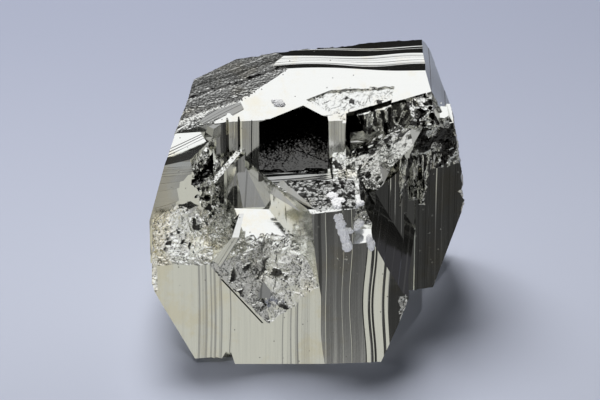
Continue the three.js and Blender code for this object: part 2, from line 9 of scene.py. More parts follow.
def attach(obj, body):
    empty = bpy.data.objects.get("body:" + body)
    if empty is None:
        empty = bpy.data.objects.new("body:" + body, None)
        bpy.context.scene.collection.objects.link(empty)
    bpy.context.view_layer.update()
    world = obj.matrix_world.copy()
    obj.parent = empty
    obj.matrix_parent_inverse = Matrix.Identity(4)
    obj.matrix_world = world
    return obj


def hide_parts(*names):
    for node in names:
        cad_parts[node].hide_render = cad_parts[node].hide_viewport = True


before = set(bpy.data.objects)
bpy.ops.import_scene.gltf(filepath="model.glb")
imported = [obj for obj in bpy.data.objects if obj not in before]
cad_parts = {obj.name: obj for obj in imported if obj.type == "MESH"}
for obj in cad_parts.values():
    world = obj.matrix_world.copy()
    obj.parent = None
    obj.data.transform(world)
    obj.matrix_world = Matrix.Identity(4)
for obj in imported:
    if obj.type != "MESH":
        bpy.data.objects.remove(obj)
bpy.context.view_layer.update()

# ---- The great crystal ----
# The largest pyrite crystal stands at the back: level treads on top, a bright pyritohedral slope in front
# with a splintered band broken out of its lower edge, pillars below. Every crystal, and every cavity too, is
# a body cut from its faces in millimetres, and some faces carry a relief grid.

LEAN = math.degrees(math.atan(0.5))          # pyritohedral lean from a cube face
FAR = 90.0                                   # well past the whole group, in every direction, in millimetres
ALONG_X, ALONG_Y, ALONG_Z = np.eye(3)        # the edge directions that striae follow
TURN = 6.28                                  # one round of a sine, in radians
HOLE_LEVEL = 0.22                            # shards lower than this become holes
SLIGHT, STEEP = 12, 60                       # turns outside these degrees keep their size along the striae
CLEARANCE = 0.02                             # a raised plane clears its relief by this
GRID_MARGIN = 2.5                            # a relief grid reaches past its face by this

TOP_Z = 42.4
SLOPE_Y, SLOPE_Z = 3.8, 41.5                 # where the treads end and the bright slope begins
PILLAR_Y = -5.2                              # the front of the pillars below the slope
LEFT_X, RIGHT_X = -26.0, 26.0


def direction(azimuth, elevation):
    """Unit vector: azimuth 0 faces the front (-Y) and 90 the right (+X), elevation 90 is straight up."""
    a, e = math.radians(azimuth), math.radians(elevation)
    return np.array([math.sin(a) * math.cos(e), -math.cos(a) * math.cos(e), math.sin(e)])


def face_axes(outward, along):
    """Across, along and outward directions of a face: along is laid flat on it, across is their cross."""
    flat = along - outward * np.dot(along, outward)
    flat = flat / np.linalg.norm(flat)
    return np.cross(flat, outward), flat, outward


def chance(i, j, seed):
    """A number from 0 to 1 for each pair i, j: the fraction left by a large multiple of a sine of them."""
    wave = np.sin(i * 127.1 + j * 311.7 + seed * 74.7) * 43758.5453
    return wave - np.floor(wave)


def shards(u, v, cell, seed):
    """Shell-like shards round scattered points, one point per cell. The point with the least sum of squared
    distance in cells and own level holds the place, and the height there is 0.45 of that sum plus a lean of
    the point's own. Also gives each shard's own number."""
    near = np.full(u.shape, np.inf)
    height = np.zeros(u.shape)
    own = np.zeros(u.shape)
    base_i, base_j = np.floor(u / cell), np.floor(v / cell)
    for di in (-1, 0, 1):
        for dj in (-1, 0, 1):
            i, j = base_i + di, base_j + dj
            du = u / cell - i - chance(i, j, seed)
            dv = v / cell - j - chance(i, j, seed + 1)
            bowl = du ** 2 + dv ** 2 + 0.7 * chance(i, j, seed + 2)
            lean = (chance(i, j, seed + 3) - 0.5) * du + (chance(i, j, seed + 4) - 0.5) * dv
            height = np.where(bowl < near, 0.45 * bowl + 1.7 * lean + 0.25, height)
            own = np.where(bowl < near, chance(i, j, seed + 5), own)
            near = np.minimum(bowl, near)
    return height, own


def broken(relief, cell, seed, grid=0.3, fine=0.35, long=1.0, holes=0.0, dark=0.0):
    """Relief of a broken face: relief times a blend of shards three cells across and, by the share fine, of
    shards one cell across, both drawn out along the striae by long. Holes go that much deeper where a third
    set of shards lies deepest, and carry painted shade; dark is the share of shards painted dark, standing
    for shade and dark reflections."""
    def make(low, high):
        """Across, along, height and painted shade on a grid from the face's low corner to its high one."""
        across = np.arange(low[0], high[0] + grid, grid)
        along = np.arange(low[1], high[1] + grid, grid)
        u, v = np.meshgrid(across, along, indexing="ij")
        u = u + 0.3 * grid * (chance(u, v, seed + 20) - 0.5)
        v = v + 0.3 * grid * (chance(u, v, seed + 21) - 0.5)
        large = shards(u, v / long, 3 * cell, seed)[0]
        little, own = shards(u, v / long, cell, seed + 7)
        deep = np.clip((HOLE_LEVEL - shards(u, v / long, 1.4 * cell, seed + 40)[0]) / 0.15, 0, 1)
        shade_paint = np.maximum(0.96 * deep * (holes > 0), 0.98 * (own < dark))
        return u, v, relief * ((1 - fine) * large + fine * little - 0.5) - holes * deep, shade_paint[1:, 1:]
    make.rise = relief * 1.3
    make.broken = 1.0
    return make


def facets(run):
    """The widths, turns and painted shade of a run of (width, turn) or (width, turn, painted shade) facets.
    """
    return np.array([(*facet, 0.0)[:3] for facet in run], float).T


def striated(start, run, fade=0.5, vary=0.0, stride=1.2, seed=0, bow=0.0, twist=0.0):
    """Relief of a striated face. The run lists facets from start: each falls by its width times the tangent
    of its turn. Along the striae, widths vary as sines and all but slight and steep turns fade as sines; bow
    rounds the face, and twist turns it by that many radians for each millimetre along."""
    widths, turns, shade_paint = facets(run)

    def make(low, high):
        """Across, along, height and painted shade on a grid from the face's low corner to its high one."""
        along = np.arange(low[1], high[1] + stride, stride)
        number = np.arange(len(run), dtype=float)
        pace = 0.12 + 0.4 * chance(number, 1.0, seed)
        phase = TURN * chance(number, 2.0, seed)
        wave = np.sin(pace[:, None] * along[None, :] + phase[:, None])
        lasting = (np.abs(turns)[:, None] < SLIGHT) | (np.abs(turns)[:, None] > STEEP)
        swell = np.where(lasting, 1.0, 1 - fade * (0.5 + 0.5 * wave))
        slow_wave = np.sin(0.7 * pace[:, None] * along[None, :] + 2 * phase[:, None])
        wide = widths[:, None] * (1 + vary * slow_wave)
        wide = wide * widths.sum() / wide.sum(axis=0)
        edges = start + np.concatenate([np.zeros((1, len(along))), np.cumsum(wide, axis=0)])
        fall = -wide * np.tan(np.radians(turns))[:, None] * swell
        height = np.concatenate([np.zeros((1, len(along))), np.cumsum(fall, axis=0)])
        middle = (low[1] + high[1]) / 2
        height = height - bow * ((along - middle) / (high[1] - low[1]) * 2)[None, :] ** 2
        height = height - twist * along[None, :] * (edges - start)
        return edges, np.tile(along, (len(edges), 1)), height, np.tile(shade_paint[:, None], (1, len(along) - 1))
    slack = abs(twist) * 20 * widths.sum()
    make.rise = np.abs(widths * np.tan(np.radians(turns))).sum() * (1 + vary) + slack
    make.broken = 0.0
    return make


def layered(start, run, grit, cell, seed):
    """Relief of rough layers: the run's facets as on a striated face, with edges that wander along them as
    sines. Grit lists (across, height) of the small hollows that roughen them."""
    widths, turns, shade_paint = facets(run)
    grid = 0.2
    wander = 0.2

    def make(low, high):
        """Across, along, height and painted shade on a grid from the face's low corner to its high one."""
        across = np.arange(low[0], high[0] + grid, grid)
        along = np.arange(low[1], high[1] + grid, grid)
        u, v = np.meshgrid(across, along, indexing="ij")
        edges = start + np.concatenate([[0.0], np.cumsum(widths)])
        levels = -np.concatenate([[0.0], np.cumsum(widths * np.tan(np.radians(turns)))])
        w = u + wander * (np.sin(0.55 * v + seed) + 0.4 * np.sin(1.7 * v + 2 * seed))
        rough = np.interp(w, *np.array(grit, float).T)
        height = np.interp(w, edges, levels) + rough * (shards(u, v, cell, seed)[0] - 0.5)
        owner = np.clip(np.searchsorted(edges, w[:-1, :-1]) - 1, 0, len(run) - 1)
        return u, v, height, shade_paint[owner]
    make.rise = np.abs(widths * np.tan(np.radians(turns))).sum() + 1.3 * max(height for place, height in grit)
    make.broken = 0.14
    return make


def lines(seed, span, spacing, turn, shade_paint=0.0, base=0.0):
    """A run of striae over the span: nearly flat facets of random width parted by narrow turned ones. The
    narrow ones get painted shade by the given amount, standing for the shade in the creases, the others base."""
    number = np.arange(int(span / spacing) * 2)
    flat = spacing * (0.25 + 1.5 * chance(number, 3.0, seed))
    lean = 1.5 * (chance(number, 7.0, seed) - 0.5)
    narrow = spacing * (0.08 + 0.2 * chance(number, 4.0, seed))
    side = np.where(chance(number, 5.0, seed) > 0.5, 1, -1) * turn * (0.4 + chance(number, 6.0, seed))
    run = []
    used = 0.0
    for k in number:
        if used > span:
            break
        run += [(flat[k], lean[k], base), (narrow[k], side[k], shade_paint)]
        used += flat[k] + narrow[k]
    return run


def body_from(name, vertices, polygons, axes, is_broken, shade_paint):
    """A mesh object in millimetres. Its UV map holds each corner's place across and along its face's striae,
    and its faces carry how broken they are and how much painted shade they get."""
    mesh = bpy.data.meshes.new(name)
    mesh.from_pydata(vertices, [], polygons)
    corners = np.empty(len(mesh.loops), np.int32)
    mesh.loops.foreach_get("vertex_index", corners)
    counts = np.empty(len(mesh.polygons), np.int32)
    mesh.polygons.foreach_get("loop_total", counts)
    owner = np.repeat(np.arange(len(counts)), counts)
    places = np.asarray(vertices, float)[corners]
    across, along = axes[owner, 0], axes[owner, 1]
    uv = np.stack([(places * across).sum(1), (places * along).sum(1)], axis=1)
    layer = mesh.uv_layers.new(name="Striae")
    layer.uv.foreach_set("vector", uv.astype(np.float32).ravel())
    for label, values in (("broken", is_broken), ("painted_shade", shade_paint)):
        mark = mesh.attributes.new(label, "FLOAT", "FACE")
        mark.data.foreach_set("value", values.astype(np.float32))
    body = bpy.data.objects.new(name, mesh)
    bpy.context.scene.collection.objects.link(body)
    return body


def combine(body, other, operation):
    """Body joined with, cut by or shared with the other body, which is used up."""
    cut = body.modifiers.new("cut", "BOOLEAN")
    cut.solver = "MANIFOLD"
    cut.operation = operation
    cut.object = other
    result = bpy.data.meshes.new_from_object(body.evaluated_get(bpy.context.evaluated_depsgraph_get()))
    body.modifiers.clear()
    old = body.data
    body.data = result
    bpy.data.meshes.remove(old)
    spent = other.data
    bpy.data.objects.remove(other)
    bpy.data.meshes.remove(spent)
    return body


def relief_block(axes, point, grid, is_broken):
    """The matter behind a face: the relief grid is carried level to FAR on every side, and closed by walls
    down to a floor FAR behind."""
    u, v, h, shade_paint = grid
    u = np.pad(u, 1, mode="edge")
    v = np.pad(v, 1, mode="edge")
    h = np.pad(h, 1, mode="edge")
    u[0, :], u[-1, :] = -FAR, FAR
    v[:, 0], v[:, -1] = -FAR, FAR
    rows, columns = u.shape
    surface = point + u[..., None] * axes[0] + v[..., None] * axes[1] + h[..., None] * axes[2]
    number = np.arange(rows * columns).reshape(rows, columns)
    quads = np.stack([number[:-1, :-1], number[1:, :-1], number[1:, 1:], number[:-1, 1:]], axis=-1)
    quads = quads.reshape(-1, 4)
    ring = np.concatenate([number[:, 0], number[-1, 1:], number[-2::-1, -1], number[0, -2:0:-1]])
    flat = surface.reshape(-1, 3)
    floor = flat[ring] - axes[2] * np.dot(flat[ring] - point, axes[2])[:, None] - axes[2] * FAR * 1.5
    below = rows * columns + np.arange(len(ring))
    after = np.roll(np.arange(len(ring)), -1)
    walls = np.stack([ring, below, below[after], ring[after]], axis=-1)
    polygons = quads.tolist() + walls.tolist() + [below[::-1].tolist()]
    vertices = np.concatenate([flat, floor])
    frames = np.tile(np.array(axes[:2]), (len(polygons), 1, 1))
    shade_paint = np.concatenate([np.pad(shade_paint, 1).ravel(), np.zeros(len(walls) + 1)])
    return body_from("block", vertices, polygons, frames, np.full(len(polygons), is_broken), shade_paint)


def half_spaces(faces, raised):
    """A convex polyhedron: a large cube cut by each face's plane, moved out past its relief if raised."""
    shape = bmesh.new()
    bmesh.ops.create_cube(shape, size=2 * FAR)
    for axes, point, relief in faces:
        out = relief.rise + CLEARANCE if raised and relief else 0.0
        everything = shape.verts[:] + shape.edges[:] + shape.faces[:]
        bmesh.ops.bisect_plane(shape, geom=everything, plane_co=Vector(point + axes[2] * out),
                               plane_no=Vector(axes[2]), clear_outer=True)
        rim = [edge for edge in shape.edges if edge.is_boundary]
        if rim:
            bmesh.ops.contextual_create(shape, geom=rim)
    bmesh.ops.recalc_face_normals(shape, faces=shape.faces[:])
    shape.verts.index_update()
    vertices = np.array([vertex.co for vertex in shape.verts])
    polygons = [[vertex.index for vertex in face.verts] for face in shape.faces]
    normals = np.array([face.normal for face in shape.faces])
    shape.free()
    return vertices, polygons, normals


def crystal(faces, painted_shade=0.0):
    """What the faces leave between them. Each face is (azimuth, elevation, point on it, relief, along), where
    relief and along, the edge direction of its striae, may be left out. The painted shade given after the
    faces darkens all of them by at least that much. The crystal is first cut a little large, then shared with
    the block of matter behind each relief."""
    planes = []
    for azimuth, elevation, point, *more in faces:
        relief = more[0] if more else None
        steep = abs(math.sin(math.radians(elevation))) > 0.8
        along = more[1] if len(more) > 1 else (ALONG_X if steep else ALONG_Z)
        planes.append((face_axes(direction(azimuth, elevation), along), np.array(point, float), relief))
    vertices, polygons, normals = half_spaces(planes, True)
    facing = np.array([axes[2] for axes, point, relief in planes])
    nearest = np.argmax(normals @ facing.T, axis=1)
    frames = np.array([planes[k][0][:2] for k in nearest])
    body = body_from("crystal", vertices, polygons, frames, np.zeros(len(polygons)), np.zeros(len(polygons)))
    plain, plain_polygons, plain_normals = half_spaces(planes, False)
    for axes, point, relief in planes:
        if relief is None:
            continue
        match = [k for k, normal in enumerate(plain_normals)
                 if normal @ axes[2] > 0.9999 and abs((plain[plain_polygons[k][0]] - point) @ axes[2]) < 1e-3]
        if not match:
            continue
        spots = plain[plain_polygons[match[0]]] - point
        places = np.stack([spots @ axes[0], spots @ axes[1]], axis=1)
        grid = relief(places.min(0) - GRID_MARGIN, places.max(0) + GRID_MARGIN)
        body = combine(body, relief_block(axes, point, grid, relief.broken), "INTERSECT")
    shade_paint = np.empty(len(body.data.polygons), np.float32)
    body.data.attributes["painted_shade"].data.foreach_get("value", shade_paint)
    body.data.attributes["painted_shade"].data.foreach_set("value", np.maximum(shade_paint, painted_shade))
    return body


def left(x):
    """A plain face square to the X axis that bounds a crystal on its left."""
    return -90, 0, (x, 0, 0)


def right(x):
    """A plain face that bounds it on its right."""
    return 90, 0, (x, 0, 0)


def ahead(y):
    """A plain face square to the Y axis that bounds it in front."""
    return 0, 0, (0, y, 0)


def behind(y):
    """A plain face that bounds it at its back."""
    return 180, 0, (0, y, 0)


def top(z):
    """A level plain face above it."""
    return 0, 90, (0, 0, z)


def under(z):
    """A level plain face below it."""
    return 0, -90, (0, 0, z)


def slope(lift):
    """The plane of the bright slope, or one level with it that is lifted by so much."""
    return 0, 90 - LEAN, (0, SLOPE_Y, SLOPE_Z + lift)


# A facet's third number, where given, is painted shade on it: the dark of creases and of dark reflections,
# painted on.
flight = [(2.1, 0), (0.08, 26.6), (0.5, 0), (0.06, 26.6), (2.0, 0), (0.25, 26.6), (0.2, 26.6, 0.2),
          (0.12, 0), (0.25, 26.6, 0.1), (0.05, 0), (0.3, 26.6), (0.1, 0), (0.3, 26.6), (0.15, 26.6, 0.25),
          (0.15, 0), (0.12, 26.6, 0.2), (1.8, 0)]
slots = [(1.6, 0.5), (0.1, 70), (0.3, 0, 0.9), (0.1, -70), (0.9, 1.2), (0.5, 6), (0.45, 14), (0.1, 82, 0.9),
         (0.28, 0, 0.95), (0.1, -82), (0.5, -0.5), (0.06, 30), (0.35, 0), (0.08, -30), (0.45, 0.6),
         (0.1, 83, 0.9), (0.22, 0, 0.95), (0.1, -83), (0.25, -8), (1.5, -0.6), (0.08, 66, 0.9),
         (0.08, -68, 0.9), (1.2, -1.0), (0.7, 0.6), (0.3, 30)]
layers = [(1.9, 2.4), (0.12, 8, 0.3), (1.5, 1.6), (0.15, -8, 0.3), (1.6, 2.2), (0.2, 2.2, 0.85),
          (0.2, 50, 0.95), (0.2, 3.4, 0.8), (0.75, 3.4), (0.9, 2.4), (0.8, 1.4), (0.6, 0, 0.25),
          (0.9, 5, 0.75), (0.4, -4, 0.5), (0.6, 12), (0.4, 4), (0.3, 34, 0.7), (4.0, -2)]
layer_grit = [(-7, 0.01), (-2.2, 0.015), (-1.4, 0.08), (-0.9, 0.02), (1.0, 0.03), (1.6, 0.15), (2.6, 0.28),
              (4.0, 0.25), (5.0, 0.1)]
left_brow = (-99.1, 14.2, (-23.1, -12.5, 33.7))      # the slanting face above the left side
undercut = (-90, -LEAN, (-19, 0, 1.9))               # the pyritohedral face below it
UP_RIGHT = np.array([1, 0.2, 0.26])                  # the way the rough layers run, a little uphill

great = crystal([
    (0, 90, (0, 12.2, TOP_Z), striated(0, flight, fade=0.1, vary=0.4, seed=6), ALONG_X),
    slope(0),
    (4.1, 0, (-8, PILLAR_Y, 0), striated(-9.4, slots, fade=0.2, vary=0.04, seed=2), ALONG_Z),
    (20, 0, (14, -2.4, 30), broken(0.45, 0.8, 43)),
    (90, LEAN, (19.3, 4.5, SLOPE_Z), striated(-11, lines(4, 18, 0.9, 24, 0.6), seed=4), ALONG_Y),
    (90, 9, (24.2, 0, 31), striated(-14, lines(5, 26, 0.9, 26, 0.6), seed=5), ALONG_Y),
    # its holes are painted black: painted shade
    (90, 0, (RIGHT_X - 0.2, 0, 10), broken(0.9, 1.0, 44, grid=0.4, holes=0.9), ALONG_Y),
    (90, -18, (21.2, 4, 0)),
    (110, 7, (22.3, 11.3, 36)),
    (-52.7, 74.2, (-14, 1, 39.2), layered(-7.2, layers, layer_grit, 0.35, 3), UP_RIGHT),
    (*left_brow, broken(0.5, 1.6, 5, grid=0.5, fine=0.2)),
    left(LEFT_X),
    undercut,
    (-169, 45, (-7.8, 8, TOP_Z), broken(0.6, 1.2, 7, grid=0.5)),
    (-150, 20, (-14.75, 7.65, 39.7)),
    (180, 0, (0, 15.5, 18), broken(0.9, 1.4, 9, grid=0.5)),
    under(0),
])
fracture = crystal([
    (179.3, -63.6, (7.5, -1.9, 38.15), broken(0.22, 0.8, 81, grid=0.18, fine=0.5, dark=0.04)),
    (-30, 5, (-0.3, -1.6, 38.8)),
    (-155, 10, (3.3, 0.1, 39.6)),
    (-174.5, 10, (8, 0.5, 39.9), broken(0.5, 0.7, 82, grid=0.3)),
    (84, -10, (13.9, 0, 39.5)),
    top(45),
])

# ---- The crystals at the back ----
# Two smaller crystals grew through the broken back. Their striae run upright, their tops are level.

BACK_Y = 20.74

low_back = crystal([
    (180, 0, (0, BACK_Y - 0.3, 0), striated(2, lines(11, 18, 1.0, 18), seed=11), ALONG_Z),
    (0, 90, (0, 0, 23), striated(-20, lines(12, 22, 1.0, 18), seed=12), ALONG_X),
    (180, LEAN, (0, BACK_Y - 0.3, 20)),
    left(-19.5),
    right(-2),
    (-90 - LEAN, 0, (-19.5, 17, 0)),
    (180, -LEAN, (0, BACK_Y - 0.3, 5)),
    ahead(0),
    under(0),
])
high_back = crystal([
    (180, 0, (0, 19, 0), striated(-20, lines(13, 20, 1.1, 18), seed=13), ALONG_Z),
    top(32),
    (180, 90 - LEAN, (0, 15.5, 32), striated(-4, lines(14, 8, 0.9, 16), seed=14), ALONG_X),
    left(1.5),
    right(19.5),
    (90 + LEAN, 0, (19.5, 15, 0)),
    (180, -LEAN, (0, 19, 4)),
    ahead(0),
    under(0),
])

# ---- The right-hand lobe and its shoulder ----
# The lobe is what stands behind a deep cleft: the room in front of it is cut out of the great crystal.
# The dark shoulder is a narrow crystal between the lobe and the front block. Rough upright ribs run down
# from the broken corner above the lobe.

LOBE_TURN = 14                                       # the lobe's front looks this many degrees to the right
block_end = (90, -22, (11.9, -19, 0))                # the overhanging end of the front block

# facets with a third number are painted dark: shade in the creases painted on
lobe_run = [*lines(22, 7.2, 0.7, 14, 0.3), (0.1, 70, 0.8), (0.45, 0), (0.1, -70), (1.25, -4), (0.12, 78),
            (1.1, 0), (0.12, -78), (1.2, 0), (0.07, -16), (0.8, 1), (0.07, -14), (1.2, -0.5)]

lobe_front = crystal([
    (180 + LOBE_TURN, 0, (17, 2.3, 0), striated(-9, lobe_run, fade=0.6, vary=0.03, seed=21), ALONG_Z),
    (-90, 50, (16.1, 0, 28.9), broken(0.4, 0.8, 22), ALONG_Y),
    ahead(-40),
    right(40),
    left(6.5),
    under(-5),
])
shoulder = crystal([
    (12, 0, (14, -6, 0), striated(-2.5, lines(23, 5, 0.6, 14), seed=23), ALONG_Z),
    block_end,
    right(15.8),
    (-90, 50, (16.1, 0, 28.9)),
    left(6.5),
    behind(4),
    under(0),
])


def rib(x, width, high, low, y, seed):
    """A rough upright rib: it faces straight ahead, and narrows to a point below."""
    taper = math.degrees(math.atan(width * 0.5 / (high - low)))
    # a share of the shards on its faces is painted black: painted shade and dark reflections
    return crystal([
        (-2, 3, (x, y, low), broken(0.35, 0.45, seed, grid=0.15, long=6.0, holes=0.6, dark=0.12)),
        (-70, -0.3 * taper, (x, y + 0.3, high), broken(0.3, 0.6, seed + 1, dark=0.2)),
        (75, -1.7 * taper, (x + width, y + 0.3, high), broken(0.7, 0.6, seed + 2, dark=0.8)),
        (20, -60, (x, y, low), broken(0.8, 0.6, seed + 3)),
        (0, 60, (x, y, high + 1)),
        behind(y + 3),
    ])


# its holes and half its shards are painted black: painted shade and dark reflections
flank = crystal([
    (16, 2, (22.5, 3.2, 28), broken(0.8, 0.7, 91, grid=0.18, fine=0.4, long=1.4, holes=0.9, dark=0.5)),
    (-80, 0, (20.7, 3, 0)),
    (90, 9, (24.6, 0, 28), broken(0.6, 0.8, 92, grid=0.3)),
    (20, -60, (22.5, 3.4, 23.5), broken(0.9, 0.8, 93, grid=0.2)),
    (10, 60, (22.5, 3.4, 31.5)),
    behind(7),
])
ribs = [rib(14.9, 1.3, 29.0, 21.0, -6.2, 24), rib(17.2, 1.7, 31.5, 19.0, -0.2, 25),
        rib(18.7, 2.3, 33.0, 18.0, 0.3, 29)]

# ---- The front block ----
# A cube-like crystal with a pale, striated front. A corner broke out of it and left a rough notch with a
# groove along its lower left rim, painted black as its shadow line, and a small stepped crystal at its upper
# left. Chips are missing from the dark half of the front and from the lower edge.

FRONT_Y = -21.0
SHELF_Z = 19.3

pale_run = [(7.2, 0.4), (0.35, 3.3), (0.3, 1.5), (0.45, 2.2), (0.35, 3.4), (0.5, 0.6), (0.3, 3.0),
            (0.3, 1.0), (0.35, 3.2), (0.45, 0.8), (0.3, 2.4), (0.2, 3.6), (1.2, 0.2), (0.2, 3.6), (8.6, 0),
            (0.18, 3), (0.5, 0), (0.12, -8), (0.5, 1), (0.22, 3), (0.35, 0), (0.2, -8), (0.3, 2),
            (0.25, 3.5), (0.3, 0), (0.16, -12), (1.4, 1)]
dark_run = [(0.7, 0.2), (0.5, 4), (0.7, -0.5), (0.07, -7), (1.2, 0.5), (0.6, -0.8), (0.9, 0.4), (0.05, -6),
            (1.3, 0), (0.07, -9), (0.08, 8), (1.2, 0.3), (0.9, -0.4), (0.2, 16), (0.65, -6.5), (0.12, 40),
            (0.35, 6), (0.15, -8), (0.35, 10), (0.12, -36), (1.1, -6.5), (0.12, 36), (0.35, 5), (0.5, -6),
            (0.12, 40), (2.5, 8)]
dark_front = (5, 0, (0.75, FRONT_Y, 10),
              striated(0.1, dark_run, fade=0.6, vary=0.08, seed=32, twist=0.0026), ALONG_Z)
# the bevel's striae are all painted nearly black: the dark reflection of the lobe painted on
bevel = (84, LEAN, (16.4, -18, 11.2), striated(-30, lines(90, 60, 1.6, 10, 0.8, 0.95), seed=90), ALONG_Y)
# third numbers: painted shade in the creases
band_run = [(0.35, -4), (0.08, 35, 0.5), (0.2, -2), (0.06, 30), (0.3, 0), (0.1, 35, 0.7), (0.2, -3),
            (0.1, 25), (0.3, 0), (0.08, 35, 0.5), (0.6, 0)]
chip_run = [(3.6, -4), (0.4, 40), (0.35, -30), (0.9, 20), (0.7, -62), (0.5, 30), (0.6, -30)]

front = crystal([
    (0, 0, (0, FRONT_Y - 0.08, 10), striated(-25.3, pale_run, fade=0.6, vary=0.05, seed=31), ALONG_Z),
    dark_front,
    (35, 5, (14.2, -19.9, 10), broken(0.35, 0.6, 33, grid=0.22, fine=0.6)),
    (0, 88, (-16, -13, SHELF_Z), broken(0.6, 0.8, 34), ALONG_X),
    block_end,
    right(16.4),
    bevel,
    left(-24.5),
    undercut,
    (180 + LOBE_TURN, 0, (17, 3.3, 0)),
    under(0),
])
breakaway = crystal([
    (30.2 + 180, -22.7, (-9.8, -18.9, 15.3), broken(0.55, 1.5, 35, grid=0.18, fine=0.3, holes=0.15)),
    (-20.5 + 180, -21.3, (-4.3, -18.9, 14.53), broken(0.55, 1.5, 36, grid=0.18, fine=0.3, holes=0.15)),
    ahead(FRONT_Y - 5),
    top(30),
])
scar = crystal([
    (185, 0, (5.3, -20.6, 19), broken(0.35, 0.35, 67, grid=0.12, fine=0.5, dark=0.3)),
    (-60, 40, (4.2, -21, 20.2)),
    (70, 30, (6.6, -21, 19.6)),
    (-80, -30, (4.3, -21, 18.2)),
    (60, -40, (6.4, -21, 17.6)),
    ahead(-30),
])
small_block = crystal([
    (-4, 61, (0, -10.9, 23.4), striated(-20, lines(37, 22, 1.2, 6), seed=37), ALONG_X),
    (-70, 0, (-11.3, -12.5, 0)),
    (-40, 40, (-10.6, -14.2, 21.6)),
    (2, 46, (-6, -14.6, 21.3), broken(0.7, 0.6, 63, grid=0.2, fine=0.4)),
    ahead(FRONT_Y + 0.5),
    right(0),
    behind(-4),
    top(23.4),
    under(5),
])
band = crystal([
    (2.5, 10, (-14.5, -20.4, 18), striated(-1.2, band_run, vary=0.3, seed=38), np.array([-3.4, -0.6, -5.1])),
    (-90, 39, (-16.2, -20, 18.5)),
    (90, -29, (-14.4, -20, 17.6)),
    (0, 75, (-12.4, -19.6, 23.1)),
    (-60, -50, (-16.0, -20, 17.8)),
    behind(-14),
])
# a thin groove painted near-black all over: the rim's shadow line painted on
rim = crystal([
    (90, 38.3, (-10.75, FRONT_Y, 12.2)),
    (-90, -38.3, (-10.95, FRONT_Y, 12.05)),
    top(16.3),
    under(7.9),
    ahead(-30),
    behind(FRONT_Y + 0.8),
], painted_shade=0.9)
chip = crystal([
    (180, -35, (0, -18.8, 0)),
    (0, 90, (-19.5, FRONT_Y, 1.1), striated(0, chip_run, seed=39), ALONG_Y),
    (90, 15, (-12.1, FRONT_Y, 0)),
    left(-30),
    ahead(-30),
    under(-3),
])

# ---- The left column ----
# A slab with a bright, sloping top stands in front of the great crystal, a striated tongue on it, a squarer
# crystal before them, and all on a rough, broken foot. Rubble, pillars, a narrow bright bar and a pit painted
# dark for its shade fill the corner on its right.

slab_run = [(0.7, -6), (0.08, 50), (0.2, 0), (0.08, 40), (0.25, -1), (0.08, 50), (0.35, 0), (0.07, 40),
            (2.1, 0.6), (0.08, 50), (0.25, -2), (0.08, 50), (0.4, -4), (0.1, 40), (1.2, -3)]
tongue_run = [(0.6, 0), (0.1, 40), (0.8, 0), (0.12, 45), (6, 0)]
# third numbers in these runs: painted shade in the creases
arcs = [(0.8, 10), (0.1, 34, 0.6), (0.25, 6), (0.12, 30, 0.5), (0.3, 0), (0.1, 30, 0.5), (0.5, 4),
        (0.14, 26, 0.5), (0.5, 0), (0.1, 24, 0.5), (0.9, 3), (0.1, 22, 0.5), (1.2, 0.5), (0.08, 24, 0.4),
        (2.4, -0.5), (0.1, 20, 0.4), (6.0, 0.5)]
lower_run = [(0.5, 1), (0.1, 78, 0.9), (1.3, 0, 0.85), (0.1, -78), (0.5, -2), (0.08, 50, 0.6), (0.9, -0.5),
             (0.06, 30), (0.5, 0.5), (0.3, 20), (0.5, 1)]
slab_along = np.array([1, 0.48, 0.24])

# the holes and a share of the shards on its lower face are painted black: painted shade
slab = crystal([
    (0, 90 - LEAN, (-20, -6, 35.4), striated(-2.4, slab_run, vary=0.25, seed=42), slab_along),
    (-52.7, 74.2, (-14, 1, 38.3)),
    left_brow,
    ahead(-12.0),
    (121, 0, (-16.5, -7.8, 0)),
    (50, 10, (-16.9, -9, 34), broken(0.9, 0.6, 60, grid=0.18, fine=0.4, holes=0.9, dark=0.35)),
    left(LEFT_X),
    behind(5),
    under(14),
])
# painted darker all over, its creases nearly black
tongue = crystal([
    (-7.8, 61, (-11.4, -1.6, 39.0),
     striated(-6, lines(61, 12, 0.55, 12, 0.9, 0.62), fade=0.7, vary=0.3, seed=61),
     slab_along),
    (114.6, 0, (-11.0, -2.4, 0)),
    (33, 0, (-12.9, -4.9, 0), striated(-3, tongue_run, seed=62), np.array([-4.65, -3.05, -2.0])),
    (-27.5, 10, (-16.5, -5.8, 36.1)),
    (-131, 0, (-17.3, -4.5, 0)),
    (-156, 40, (-14.0, -2.8, 38.1)),
    under(34.3),
], painted_shade=0.45)
column = crystal([
    (4.4, 0, (-20, -12.5, 22), striated(-11.4, arcs, fade=0.2, vary=0.3, stride=0.4, seed=41, bow=0.03),
     ALONG_X),
    (-90, 76.5, (-23.1, -11.1, 32.85)),
    left_brow,
    left(LEFT_X),
    undercut,
    (60, 0, (-19.2, -12.5, 0), striated(-4, lines(47, 8, 0.7, 25), seed=47), ALONG_Z),
    behind(5),
    under(5),
])
foot = crystal([
    (-31, 40.6, (-21.5, -19, 18), broken(0.9, 0.7, 45, grid=0.18, dark=0.02)),
    ahead(FRONT_Y + 0.1),
    left_brow,
    left(LEFT_X + 0.5),
    undercut,
    (60, 25, (-17, -14, 20.5), broken(1.0, 0.8, 46, grid=0.2, fine=0.3, dark=0.08)),
    behind(-5),
    top(25),
    under(12),
])
bright_bar = crystal([
    (-15, 60, (-10.6, -4.9, 31.9), broken(0.25, 0.5, 48, grid=0.2)),
    (78.4, -45, (-10.3, -4.9, 31.94)),
    (-132.4, 0, (-11.1, -4.5, 0)),
    (-42.4, 0, (-15.4, -10.2, 0)),
    behind(-3),
    under(15),
])
